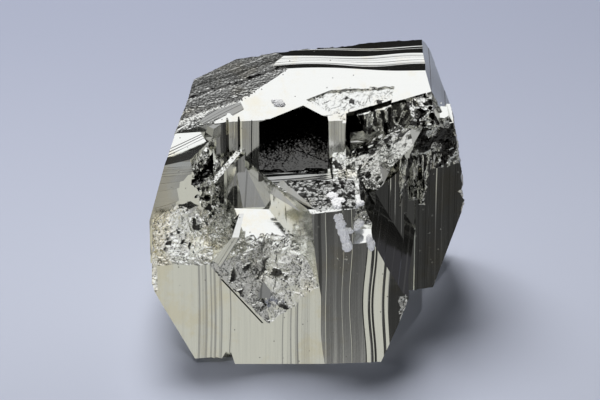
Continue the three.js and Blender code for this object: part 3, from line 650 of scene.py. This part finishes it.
# painted darker all over
skirt = crystal([
    (4, 41, (-9, -5.4, 28.6), striated(-6, lines(50, 12, 1.3, 6), seed=50), ALONG_Y),
    (-75, 0, (-11.6, -7, 24)),
    right(-4),
    behind(-3),
    under(12),
], painted_shade=0.35)
# painted near-black all over: the pit's shade painted on
pit = crystal([
    ahead(-30),
    (180, 10, (-17.4, -3.2, 30)),
    (-90, 5, (-19.0, 0, 30)),
    right(-15.6),
    (-60, 70, (-17.5, -6, 31.4)),
    (0, -90, (0, 0, 28.8), broken(0.5, 0.5, 88)),
], painted_shade=0.9)
# its holes and a share of its shards are painted black: painted shade
rubble = crystal([
    (10, 6, (-16.7, -9.0, 26), broken(1.1, 0.6, 58, grid=0.17, fine=0.4, holes=1.0, dark=0.25)),
    left(-18.6),
    (75, 0, (-15.4, -9, 0), broken(0.8, 0.6, 59, grid=0.2, holes=0.8, dark=0.6)),
    (0, 70, (-16.7, -8, 29.2), broken(0.5, 0.6, 70, grid=0.2)),
    behind(-3),
    under(15),
])
# painted a little darker all over, and black in its slots: painted shade
lower_pillars = crystal([
    (4, 0, (-13, -6.6, 0), striated(-2.9, lower_run, vary=0.05, seed=49), ALONG_Z),
    (-80, 52, (-10.6, -5.2, 31.2)),
    (80, 0, (-10.4, -6, 0)),
    (-65, 0, (-15.6, -6, 0)),
    behind(-3),
    under(15),
], painted_shade=0.1)

# ---- The centre column ----
# It rises through the front block to a rough, lumpy top, with a step on its right that carries the foot of
# the grainy arm.

CENTRE_Z = 29.5
STEP_Z = 22.8

# third numbers: painted shade in the creases between the facets
top_run = [(0.8, 11), (0.08, 0, 0.6), (0.5, 12), (0.12, -4, 0.7), (0.45, 11), (0.15, 0, 0.6), (0.3, 13),
           (0.25, -2, 0.7), (0.3, 12), (0.3, 0, 0.5), (0.1, 25), (0.35, 0, 0.6), (0.12, 26), (0.5, 0, 0.4),
           (0.1, 26), (0.6, 0, 0.4), (0.14, 26), (0.5, 2)]

centre = crystal([
    (0, 89, (-1, -9, CENTRE_Z + 0.3), striated(0, top_run, fade=0.3, vary=0.5, seed=51),
     np.array([1, 0.12, 0.0])),
    (-55.6, -5, (-1.4, -19, CENTRE_Z), striated(-12, lines(55, 24, 2.5, 5), seed=55, bow=0.3), ALONG_Z),
    dark_front,
    (0, 62, (0, -19.6, 29.3), broken(0.12, 0.4, 94, grid=0.15, dark=0.1)),
    right(7.2),
    behind(2),
    under(12),
])
# painted darker all over, and a share of its shards black
lump = crystal([
    (4, 80, (2.5, -15, 29.95), broken(0.35, 0.5, 54, grid=0.15, fine=0.4, dark=0.4)),
    (-50, 20, (-2.0, -16.5, 29.2)),
    (3, 62, (2, -19.7, 29.3), broken(0.2, 0.5, 56, grid=0.2)),
    (5, 0, (0.75, FRONT_Y + 0.4, 10)),
    right(7.5),
    (180, 20, (0, -12.8, 29.6), broken(0.5, 0.6, 57, grid=0.3)),
    under(27.4),
], painted_shade=0.35)
heel = crystal([
    (-5, 73, (4.8, -11, 29.7), broken(0.5, 0.5, 68, grid=0.18, dark=0.08)),
    (-80, 30, (3.4, -9, 29.5)),
    (80, 30, (6.6, -9, 29.5)),
    (0, 30, (0, -14.8, 29.3), broken(0.4, 0.5, 69, grid=0.18, dark=0.06)),
    behind(-4),
    under(28),
])
step = crystal([
    dark_front,
    (0, 90 - LEAN, (0, -19.6, STEP_Z)),
    top(STEP_Z + 1),
    bevel,
    left(2),
    behind(2),
    under(12),
])
arm_foot = crystal([
    (5, 15, (9, -15.5, 26), broken(0.5, 0.7, 52, grid=0.22)),
    (0, 70, (9, -13, 28.5), broken(0.5, 0.7, 53, grid=0.22)),
    bevel,
    left(6),
    behind(2),
    under(12),
])

# ---- The arm ----
# A grainy ridge runs down from the right-hand corner of the slope to the centre column, and ends in a
# pointed tooth. It overhangs the lobe.

arm_along = np.array([-6.3, -1.0, -6.9])
# third numbers: painted shade in the creases
tooth_run = [(0.2, 10), (0.14, -45, 0.9), (0.25, 20), (0.14, -50, 0.8), (0.2, 30), (0.14, -45, 0.9),
             (0.3, 20), (0.16, -40, 0.9), (0.5, 10), (0.12, -40, 0.8), (0.3, 20), (0.12, -40, 0.9),
             (0.5, 10), (0.14, -45, 0.9), (0.4, 10), (0.14, -45, 0.8), (0.6, 0)]

arm = crystal([
    (-30.7, 30.6, (15.9, -6, 31.5),
     broken(0.1, 0.5, 71, grid=0.16, fine=0.45, long=3.0, holes=0.12, dark=0.05), arm_along),
    (80, -41.2, (15.9, -6, 31.5)),
    (-60, 55, (17.7, -3, 35.8), broken(0.2, 0.6, 73, grid=0.18, fine=0.4, long=3.0, holes=0.4, dark=0.12),
     arm_along),
    (55, 35, (17.2, -4.5, 33.6)),
    (-45, -30, (7.6, -6, 25.2)),
    behind(3),
    under(23),
])
sheet = crystal([
    (-25, 24, (9.7, -10.4, 27.0),
     broken(0.16, 0.45, 72, grid=0.15, fine=0.4, long=1.6, holes=0.2, dark=0.08),
     np.array([-2.0, -1.0, -3.0])),
    (-85, 4, (6.4, -9, 28)),
    (-88, 64, (7, -8, 31), broken(0.25, 0.5, 84, grid=0.18, dark=0.2)),
    (80, -41.2, (15.85, -6, 31.5)),
    (70, 25, (11.6, -6, 33.2)),
    (0, -75, (8.5, -10.8, 27.2)),
    behind(-4.6),
])
tooth = crystal([
    (-24, 14, (8, -9.6, 28), striated(-2.2, tooth_run, vary=0.3, seed=74), np.array([0.35, 0, 1.0])),
    (-85, 4, (6.2, -9, 28)),
    (90, 34, (7.0, -9.5, 30.8)),
    (-60, 62, (6.7, -9, 30.4), broken(0.3, 0.5, 75, grid=0.18, dark=0.2)),
    behind(-7.0),
    under(25),
])
# its holes and a share of its shards are painted black: painted shade and dark reflections
corner = crystal([
    (2, 60, (19.0, -2.6, 37.4), broken(0.6, 0.7, 77, grid=0.18, fine=0.4, holes=0.5, dark=0.15)),
    (-60, 20, (15.6, -2.0, 36)),
    (80, 20, (22.0, 0, 34)),
    (20, 12, (19.5, -2.9, 34.6), broken(0.9, 0.7, 78, grid=0.18, holes=0.9, dark=0.45)),
    (10, -50, (19, -2.0, 33.9), broken(0.6, 0.6, 83, grid=0.2)),
    slope(0.2),
    behind(0.3),
])
# its holes and most of its shards are painted black: painted shade and dark reflections
corner_foot = crystal([
    (26, 0, (20.5, -1.0, 32), broken(0.9, 1.1, 79, grid=0.2, fine=0.3, holes=0.9, dark=0.85)),
    (-70, 10, (17.6, -1.5, 32)),
    (90, 9, (23.6, 0, 31)),
    (10, 60, (20.5, -1.6, 34.4)),
    (20, -55, (21, -1.4, 29.4), broken(0.8, 0.8, 89, grid=0.2)),
    behind(1.5),
])

# ---- The hollow and the recess ----
# The hollow under the slope has a gabled mouth and a low sill, and is painted nearly black for its shade. A
# post stands between it and the recess on its right, which is rough inside and painted dark for its shade,
# with a small crystal in it and splinters hanging over it.

icicles = [(0.9, 3), (0.12, -40), (0.5, 8), (0.1, -45), (0.2, 30), (0.9, 0), (0.1, -40), (0.15, 40),
           (1.6, 5), (0.12, -50), (0.3, 20), (0.9, 0), (0.12, -30), (1.2, 8), (0.1, -45), (0.2, 30),
           (2.0, 0)]
# third number: painted shade in the crease
inner_run = [(2.6, 0), (0.2, -55), (1.6, 2), (0.12, 40, 0.6), (1.0, 0)]

# painted near-black all over: the hollow's shade painted on
hollow = crystal([
    ahead(-9.6),
    (12 + 180, -5, (-3, 3, 30)),
    left(-8.1),
    right(3.1),
    (-90, 77.5, (-0.9, 0, 38.35)),
    (90, 74, (-0.9, 0, 38.35)),
    (0, -90, (0, 0, CENTRE_Z), broken(0.45, 1.6, 65, grid=0.25, fine=0.15), ALONG_X),
], painted_shade=0.75)
# painted near-black all over: the hollow's shade painted on
sill = crystal([
    (3, 66, (-2, -6, 30.4), broken(0.16, 2.0, 66, grid=0.25, fine=0.1)),
    ahead(-9.5),
    left(-8.2),
    right(3.2),
    behind(1),
    under(28),
], painted_shade=0.95)
post = crystal([
    (2.5, 7, (4.6, -5.6, 33), striated(-2, lines(64, 4, 0.35, 25), seed=64), ALONG_Z),
    (-80, 0, (3.1, -4.5, 0)),
    (75, 0, (6.2, -4.5, 0)),
    slope(-0.1),
    behind(2),
    under(28.5),
])
# painted near-black all over: the recess's shade painted on
recess = crystal([
    ahead(-9),
    (180 + LOBE_TURN, -4, (13, 5, 33), striated(-7, icicles, vary=0.4, fade=0.9, seed=60), ALONG_Z),
    left(6.1),
    right(19.2),
    (-90, 81, (6.1, 0, 37.4)),
    (90, -51, (13, -1, 30.2), broken(0.45, 0.8, 62), ALONG_Y),
    under(28.6),
], painted_shade=0.92)
# painted darker all over, in the recess's shade
inner_block = crystal([
    (9, 6, (8.5, -1.8, 31), striated(-3, inner_run, seed=87), ALONG_X),
    (0, 84, (0, -1.6, 33.0)),
    (40, 0, (10.9, -1.6, 0)),
    (-85, 0, (6.7, 0, 0)),
    behind(6),
    under(28),
], painted_shade=0.35)
# its holes and most of its shards are painted black: the recess's shade and dark reflections painted on
fringe = crystal([
    (18, 2, (10.5, -2.4, 37.5), broken(0.8, 0.6, 85, grid=0.16, fine=0.4, long=3.0, holes=1.2, dark=0.6)),
    (-80, -20, (8.4, -2, 35)),
    (80, -25, (14.6, -2, 34.5)),
    (20, -60, (10.8, -2, 33.2), broken(1.0, 0.7, 86, grid=0.2)),
    slope(-1.3),
    behind(2),
])

# ---- The pyrite as one piece ----
# All the crystals grew together, so they are one piece. It is pale brass-grey metal, finely striated, dull
# and grainy where it broke, with faint yellow stains and small pits. Its hollows, clefts, holes, creases and
# some broken facets are painted nearly black: painted shade and painted dark reflections.

MM = 0.001                                           # the finished meshes are in metres
BRASS_GREY = (0.90, 0.905, 0.865, 1)
YELLOW_STAIN = (0.88, 0.81, 0.62, 1)
# painted shade: the near-black used for hollows, clefts, holes, creases and dark facets
PAINTED_SHADE_TONE = (0.055, 0.054, 0.051, 1)
PIT_BROWN = (0.20, 0.18, 0.16, 1)

growth = [
    ("UNION", (low_back, high_back, post)),
    ("DIFFERENCE", (lobe_front, fracture)),
    ("UNION", (shoulder, flank, *ribs, tongue, slab, column, front, foot, small_block, rubble)),
    ("DIFFERENCE", (breakaway, rim)),
    ("UNION", (band, centre, lump, step, arm_foot, lower_pillars, bright_bar, skirt)),
    ("DIFFERENCE", (hollow, recess, pit, chip, scar)),
    ("UNION", (sill, heel, inner_block, fringe, corner_foot, arm, sheet, tooth, corner)),
]
pyrite = great
for operation, others in growth:
    for other in others:
        pyrite = combine(pyrite, other, operation)
pyrite.name = "pyrite_cluster"
pyrite.data.transform(Matrix.Scale(MM, 4))
pyrite.data.shade_flat()


def new_material(name):
    """A material, its node tree and its shader."""
    material = bpy.data.materials.new(name)
    material.use_nodes = True
    return material, material.node_tree, material.node_tree.nodes["Principled BSDF"]


def put(value, socket):
    """The value set on the socket, or linked to it where the value is a socket too."""
    if isinstance(value, bpy.types.NodeSocket):
        tree.links.new(value, socket)
    else:
        socket.default_value = value


def add(kind, **inputs):
    """A new node in the tree being built, with its inputs put in by name."""
    made = tree.nodes.new(kind)
    for name, value in inputs.items():
        put(value, made.inputs[name.replace("_", " ")])
    return made


def arithmetic(kind, operation, *values):
    """One step of Math or VectorMath."""
    made = tree.nodes.new("ShaderNode" + kind)
    made.operation = operation
    for k, value in enumerate(values):
        put(value, made.inputs[k])
    return made.outputs[0]


def sum_of(a, b, factor=1.0):
    """a times factor, plus b."""
    return arithmetic("Math", "MULTIPLY_ADD", a, factor, b)


def ease(value, low, high, first=0.0, last=1.0):
    """first below low, last above high, eased between."""
    made = add("ShaderNodeMapRange", Value=value, From_Min=low, From_Max=high, To_Min=first, To_Max=last)
    made.interpolation_type = "SMOOTHSTEP"
    return made.outputs["Result"]


def mix_color(share, first, second):
    """first where share is 0, second where it is 1."""
    made = tree.nodes.new("ShaderNodeMix")
    made.data_type = "RGBA"
    for slot, value in ((0, share), (6, first), (7, second)):
        put(value, made.inputs[slot])
    return made.outputs[2]


def face_mark(name):
    """The value of this name that each face carries."""
    made = tree.nodes.new("ShaderNodeAttribute")
    made.attribute_name = name
    return made.outputs["Fac"]


metal, tree, shader = new_material("pyrite_metal")
shader.inputs["Metallic"].default_value = 1.0
place = tree.nodes.new("ShaderNodeTexCoord").outputs["Object"]
roughened = face_mark("broken")
across_along = tree.nodes.new("ShaderNodeUVMap")
across_along.uv_map = "Striae"
drawn_out = add("ShaderNodeMapping", Vector=across_along.outputs[0], Scale=(3.2, 0.05, 1))
striae = add("ShaderNodeTexNoise", Vector=drawn_out.outputs[0], Scale=1.0, Detail=4.0,
             Roughness=0.62).outputs["Fac"]
waviness = add("ShaderNodeTexNoise", Vector=place, Scale=110.0, Detail=1.0).outputs["Fac"]
grit = add("ShaderNodeTexNoise", Vector=place, Scale=3800.0, Detail=3.0, Roughness=0.7).outputs["Fac"]
crumbs = add("ShaderNodeTexVoronoi", Vector=place, Scale=2100.0).outputs["Distance"]
pit_spots = add("ShaderNodeTexVoronoi", Vector=place, Scale=620.0, Randomness=1.0).outputs["Distance"]
stains = add("ShaderNodeTexNoise", Vector=place, Scale=160.0, Detail=5.0, Roughness=0.65).outputs["Fac"]

# the finest relief: striae on the smooth faces, grains on the broken ones, pits and glints on all
smooth_part = ease(roughened, 0.2, 0.0)
pitted = ease(pit_spots, 0.075, 0.045)
striae_and_waves = sum_of(striae, sum_of(waviness, 0.0, 2.0), smooth_part)
grains = sum_of(sum_of(crumbs, grit, -0.6), 0.0, roughened)
fine = add("ShaderNodeBump", Strength=0.5, Distance=0.00001, Height=striae_and_waves)
coarse = add("ShaderNodeBump", Strength=1.0, Distance=0.00003, Height=grains, Normal=fine.outputs[0])
dents = add("ShaderNodeBump", Strength=0.6, Distance=0.00006, Height=sum_of(pitted, 1.0, -1.0),
            Normal=coarse.outputs[0])
glints = add("ShaderNodeTexVoronoi", Vector=place, Scale=4300.0).outputs["Color"]
tilts = arithmetic("VectorMath", "SUBTRACT", glints, (0.5, 0.5, 0.5))
tilted = arithmetic("VectorMath", "MULTIPLY_ADD", tilts, sum_of(roughened, 0.0, 0.3), dents.outputs[0])
put(arithmetic("VectorMath", "NORMALIZE", tilted), shader.inputs["Normal"])

# its colours: yellow stains, mostly at the left end, then painted shade and dark reflections, then brown in
# the pits
left_end = ease(add("ShaderNodeSeparateXYZ", Vector=place).outputs["X"], -0.020, -0.0245, 0.0, 0.2)
tint = mix_color(ease(sum_of(left_end, stains), 0.50, 0.72, 0.0, 0.5), BRASS_GREY, YELLOW_STAIN)
# each face's painted shade blends its colour towards near-black, standing for shade and dark reflections
tint = mix_color(face_mark("painted_shade"), tint, PAINTED_SHADE_TONE)
put(mix_color(sum_of(pitted, 0.0, 0.7), tint, PIT_BROWN), shader.inputs["Base Color"])
put(sum_of(grit, ease(striae, 0.35, 0.7, 0.05, 0.16), 0.03), shader.inputs["Roughness"])
pyrite.data.materials.clear()
pyrite.data.materials.append(metal)
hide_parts("pyrite")
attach(pyrite, "root")

# ---- The quartz ----
# Sugary grains of pale, bluish quartz sit in clefts of the pyrite. Each patch is one mesh of grown-together
# grains with small domes all over, milky and slightly clear.

MILKY_BLUE = (0.22, 0.26, 0.40, 1)
MILKY_WHITE = (0.46, 0.51, 0.67, 1)

milk, tree, shader = new_material("milky_quartz")
place = tree.nodes.new("ShaderNodeTexCoord").outputs["Object"]
cloud = add("ShaderNodeTexNoise", Vector=place, Scale=900.0, Detail=4.0).outputs["Fac"]
frost = add("ShaderNodeTexVoronoi", Vector=place, Scale=2400.0).outputs["Distance"]
crisp = add("ShaderNodeBump", Strength=0.8, Distance=0.00006, Height=frost)
put(mix_color(ease(cloud, 0.35, 0.65), MILKY_BLUE, MILKY_WHITE), shader.inputs["Base Color"])
put(ease(cloud, 0.3, 0.7, 0.12, 0.4), shader.inputs["Roughness"])
put(crisp.outputs[0], shader.inputs["Normal"])
shader.inputs["IOR"].default_value = 1.544
shader.inputs["Transmission Weight"].default_value = 0.12
shader.inputs["Subsurface Weight"].default_value = 0.2
shader.inputs["Subsurface Radius"].default_value = (0.0008, 0.0009, 0.0011)


def grain(place, sizes, seed, lean=0.0):
    """A sugary grain: an ellipsoid over latitude and longitude, 0.78 of its size, with domes that rise to the
    full size over many scattered directions, turned back by lean degrees about the X axis."""
    rows, columns = 34, 56
    latitude, longitude = np.meshgrid(np.linspace(-np.pi / 2, np.pi / 2, rows + 1)[1:-1],
                                      np.linspace(0, 2 * np.pi, columns, endpoint=False), indexing="ij")
    ball = np.stack([np.cos(latitude) * np.cos(longitude), np.cos(latitude) * np.sin(longitude),
                     np.sin(latitude)], axis=-1).reshape(-1, 3)
    ball = np.concatenate([ball, [[0, 0, -1], [0, 0, 1]]])
    spots = np.arange(np.ceil(40 + 60 * max(sizes) ** 2))     # the number of domes grows with its surface
    height = 2 * chance(spots, 1.0, seed) - 1
    angle = TURN * chance(spots, 2.0, seed)
    level = np.sqrt(1 - height ** 2)
    towards = np.stack([level * np.cos(angle), level * np.sin(angle), height], axis=-1)
    facing = (ball @ towards.T - 1) * len(spots) / 5 + 1 - 0.6 * chance(spots, 3.0, seed)
    ball = ball * (0.78 + 0.22 * np.clip(facing.max(axis=1), 0, 1))[:, None] * np.array(sizes)
    tilt = math.radians(lean)
    y, z = ball[:, 1].copy(), ball[:, 2].copy()
    ball[:, 1] = y * math.cos(tilt) - z * math.sin(tilt)
    ball[:, 2] = y * math.sin(tilt) + z * math.cos(tilt)
    number = np.arange((rows - 1) * columns).reshape(rows - 1, columns)
    beside = np.roll(number, -1, axis=1)
    quads = np.stack([number[:-1], beside[:-1], beside[1:], number[1:]], axis=-1).reshape(-1, 4)
    south, north = (rows - 1) * columns, (rows - 1) * columns + 1
    south_cap = [[south, b, a] for a, b in zip(number[0], beside[0])]
    north_cap = [[north, a, b] for a, b in zip(number[-1], beside[-1])]
    polygons = quads.tolist() + south_cap + north_cap
    return body_from("grain", ball + np.array(place), polygons, np.zeros((len(polygons), 2, 3)),
                     np.ones(len(polygons)), np.zeros(len(polygons)))


def scattered(centre, half, count, size, seed):
    """Small grains at random places in a flat round patch: centre and half its width, depth and height."""
    found = []
    for k in range(count):
        level = math.sqrt(chance(k, 1.0, seed))
        angle = TURN * chance(k, 2.0, seed)
        out = np.array([level * math.cos(angle), 0.5 - chance(k, 3.0, seed), level * math.sin(angle)])
        radius = size * (0.7 + 0.6 * chance(k, 4.0, seed))
        found.append((np.array(centre) + out * (np.array(half) - radius), (radius, radius, radius), seed + k))
    return found


def druse(name, node, grains):
    """One piece of quartz: its grains grown together."""
    piece = grain(*grains[0])
    for more in grains[1:]:
        piece = combine(piece, grain(*more), "UNION")
    piece.name = name
    piece.data.transform(Matrix.Scale(MM, 4))
    piece.data.shade_flat()
    piece.data.materials.append(milk)
    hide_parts(node)
    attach(piece, "root")


druse("quartz_vein_grains", "quartz_vein", [
    ((3.8, -16.8, 29.6), (1.0, 1.2, 0.35), 16), ((4.4, -18.2, 29.3), (1.0, 1.2, 0.45), 1),
    ((5.2, -17.9, 29.3), (0.8, 0.8, 0.35), 2), ((4.5, -19.4, 28.9), (0.95, 0.85, 0.8), 3),
    ((4.7, -20.1, 27.5), (1.05, 0.75, 1.2), 4), ((5.1, -20.3, 26.2), (1.0, 0.7, 1.2), 5),
    ((5.5, -20.4, 25.0), (1.0, 0.65, 1.1), 6), ((5.8, -20.5, 23.8), (0.9, 0.6, 1.1), 7),
    ((6.2, -20.5, 22.3), (0.95, 0.7, 1.15), 8), ((6.3, -19.9, 25.0), (1.1, 0.9, 0.75), 9),
    ((7.4, -19.2, 25.3), (1.1, 1.0, 0.8), 10), ((8.2, -18.9, 25.7), (0.8, 0.8, 0.65), 11),
    ((7.0, -18.0, 28.4), (1.2, 0.9, 0.6), 12), ((8.1, -17.5, 28.6), (1.0, 0.8, 0.5), 13),
])
druse("quartz_drop_grains", "quartz_drop", [
    ((9.75, -20.1, 23.4), (0.6, 0.7, 0.9), 14), ((10.1, -20.2, 22.3), (0.7, 0.7, 1.15), 15),
])
druse("quartz_spot_grains", "quartz_spot", [
    ((-5, -2.03, 38.45), (1.15, 0.95, 0.4), 15, LEAN), ((-4.4, -2.3, 38.35), (0.7, 0.6, 0.45), 16, LEAN),
    ((-5.7, -1.7, 38.6), (0.6, 0.5, 0.4), 17, LEAN),
])
druse("quartz_druse_grains", "quartz_druse",
      scattered(centre=(-5.2, -19.7, 11.3), half=(2.1, 0.9, 1.3), count=16, size=0.38, seed=90))

# ---- Floor, light and camera ----
# A pale paper floor, painted lighter in front and darker towards the back for the fall of the light, one
# large soft lamp above it, one narrow light on the quartz vein and one for what the metal throws back on the
# floor, and a studio that only the metal mirrors.

# the paper's painted light: lighter near the front, darker far back, as the lamp's light falls off
PAPER_PAINTED_LIGHT = (0.55, 0.58, 0.68, 1)
PAPER_PAINTED_SHADE = (0.36, 0.385, 0.485, 1)

bpy.ops.mesh.primitive_plane_add(size=2.0)
floor = bpy.context.object
floor.name = "floor"
paper, tree, shader = new_material("paper")
shader.inputs["Roughness"].default_value = 0.9
place = tree.nodes.new("ShaderNodeTexCoord").outputs["Object"]
towards_back = add("ShaderNodeSeparateXYZ", Vector=place).outputs["Y"]
# painted light: the paper blends from the lighter colour in front to the darker one at the back
put(mix_color(ease(towards_back, -0.03, 0.13), PAPER_PAINTED_LIGHT, PAPER_PAINTED_SHADE), shader.inputs["Base Color"])
floor.data.materials.append(paper)
floor.visible_glossy = False


def look_at(thing, place, aim):
    """The lamp or camera put at the place and turned to the aim, in the scene."""
    thing.location = place
    thing.rotation_euler = (Vector(aim) - Vector(place)).to_track_quat("-Z", "Y").to_euler()
    bpy.context.scene.collection.objects.link(thing)


def lamp(name, kind, place, aim, power):
    """A lamp that lights the paper and the quartz but isn't mirrored."""
    light = bpy.data.lights.new(name, kind)
    light.energy = power
    holder = bpy.data.objects.new(name, light)
    holder.visible_camera = False
    holder.visible_glossy = False
    look_at(holder, place, aim)
    return light


def narrow(light, width):
    """The spot light made width degrees wide, with a soft edge."""
    light.spot_size = math.radians(width)
    light.spot_blend = 1.0
    light.shadow_soft_size = 0.01


soft_top = lamp("soft_top", "AREA", (-0.08, 0.18, 0.42), (0, 0, 0), 2.4)
soft_top.shape = "RECTANGLE"
soft_top.size, soft_top.size_y = 0.26, 0.22
narrow(lamp("quartz_fill", "SPOT", (-0.06, -0.38, 0.30), (0.0066, -0.020, 0.0222), 11), 2.1)
narrow(lamp("thrown_back", "SPOT", (-0.08, -0.22, 0.40), (-0.0175, -0.0262, 0), 2.6), 2.6)

world = bpy.data.worlds.new("studio")
bpy.context.scene.world = world
world.use_nodes = True
tree = world.node_tree
tree.nodes.clear()


def ring(azimuth, stops):
    """Brightness round the horizon: a ramp over the azimuth, with stops between -180 and 180."""
    share = sum_of(azimuth, 0.5, 1 / (2 * math.pi))
    made = tree.nodes.new("ShaderNodeValToRGB")
    tree.links.new(share, made.inputs["Fac"])
    ramp = made.color_ramp
    for degrees, color in stops:
        spot = ramp.elements.new(degrees / 360 + 0.5)
        spot.color = (*color, 1) if isinstance(color, tuple) else (color, color, color, 1)
    for end in (0, -1):
        ramp.elements.remove(ramp.elements[end])
    return made.outputs["Color"]


around = tree.nodes.new("ShaderNodeTexCoord").outputs["Generated"]
east, north, up = add("ShaderNodeSeparateXYZ", Vector=around).outputs
azimuth = arithmetic("Math", "ARCTAN2", east, arithmetic("Math", "MULTIPLY", north, -1.0))
low_ring = ring(azimuth, [
    (-178, (0.36, 0.38, 0.46)), (-110, (0.36, 0.38, 0.42)), (-70, (0.42, 0.42, 0.38)),
    (-30, (0.54, 0.54, 0.49)), (1, (0.56, 0.56, 0.51)), (6, 0.24), (10, 0.13), (18, 0.055), (28, 0.03),
    (62, 0.03), (80, 0.25), (135, 0.25), (150, (0.10, 0.10, 0.12)), (158, (0.26, 0.28, 0.34)),
    (166, (0.40, 0.43, 0.52)), (178, (0.42, 0.45, 0.55)),
])
high_ring = ring(azimuth, [
    (-178, 0.015), (-140, 0.08), (-115, 0.4), (-95, 0.7), (-60, 0.8), (-35, 0.45), (-12, 0.04), (0, 0.015),
    (34, 0.02), (46, 0.42), (110, 0.42), (150, 0.32), (165, 0.03), (178, 0.015),
])
GROUND = (0.34, 0.35, 0.36, 1)
CEILING = (1.02, 1.03, 1.06, 1)
DIM_ROOM = (0.030, 0.034, 0.042, 1)                  # all that the paper and the quartz get from the studio
studio = mix_color(ease(up, -0.10, 0.0), low_ring, high_ring)
studio = mix_color(ease(up, -0.52, -0.80), studio, GROUND)
studio = mix_color(ease(up, 0.68, 0.93), studio, CEILING)
mirrored = tree.nodes.new("ShaderNodeLightPath").outputs["Is Glossy Ray"]
sky = add("ShaderNodeBackground", Color=mix_color(mirrored, DIM_ROOM, studio))
add("ShaderNodeOutputWorld", Surface=sky.outputs[0])

AIM = Vector((-1.417, 0.0, 19.05)) * MM
DISTANCE = 0.60
LOOK_DOWN = math.radians(30)
lens = bpy.data.cameras.new("camera")
lens.lens = 216
lens.clip_end = 20
camera = bpy.data.objects.new("camera", lens)
look_at(camera, AIM + DISTANCE * Vector((0, -math.cos(LOOK_DOWN), math.sin(LOOK_DOWN))), AIM)
bpy.context.scene.camera = camera
bpy.context.scene.view_settings.view_transform = "Standard"
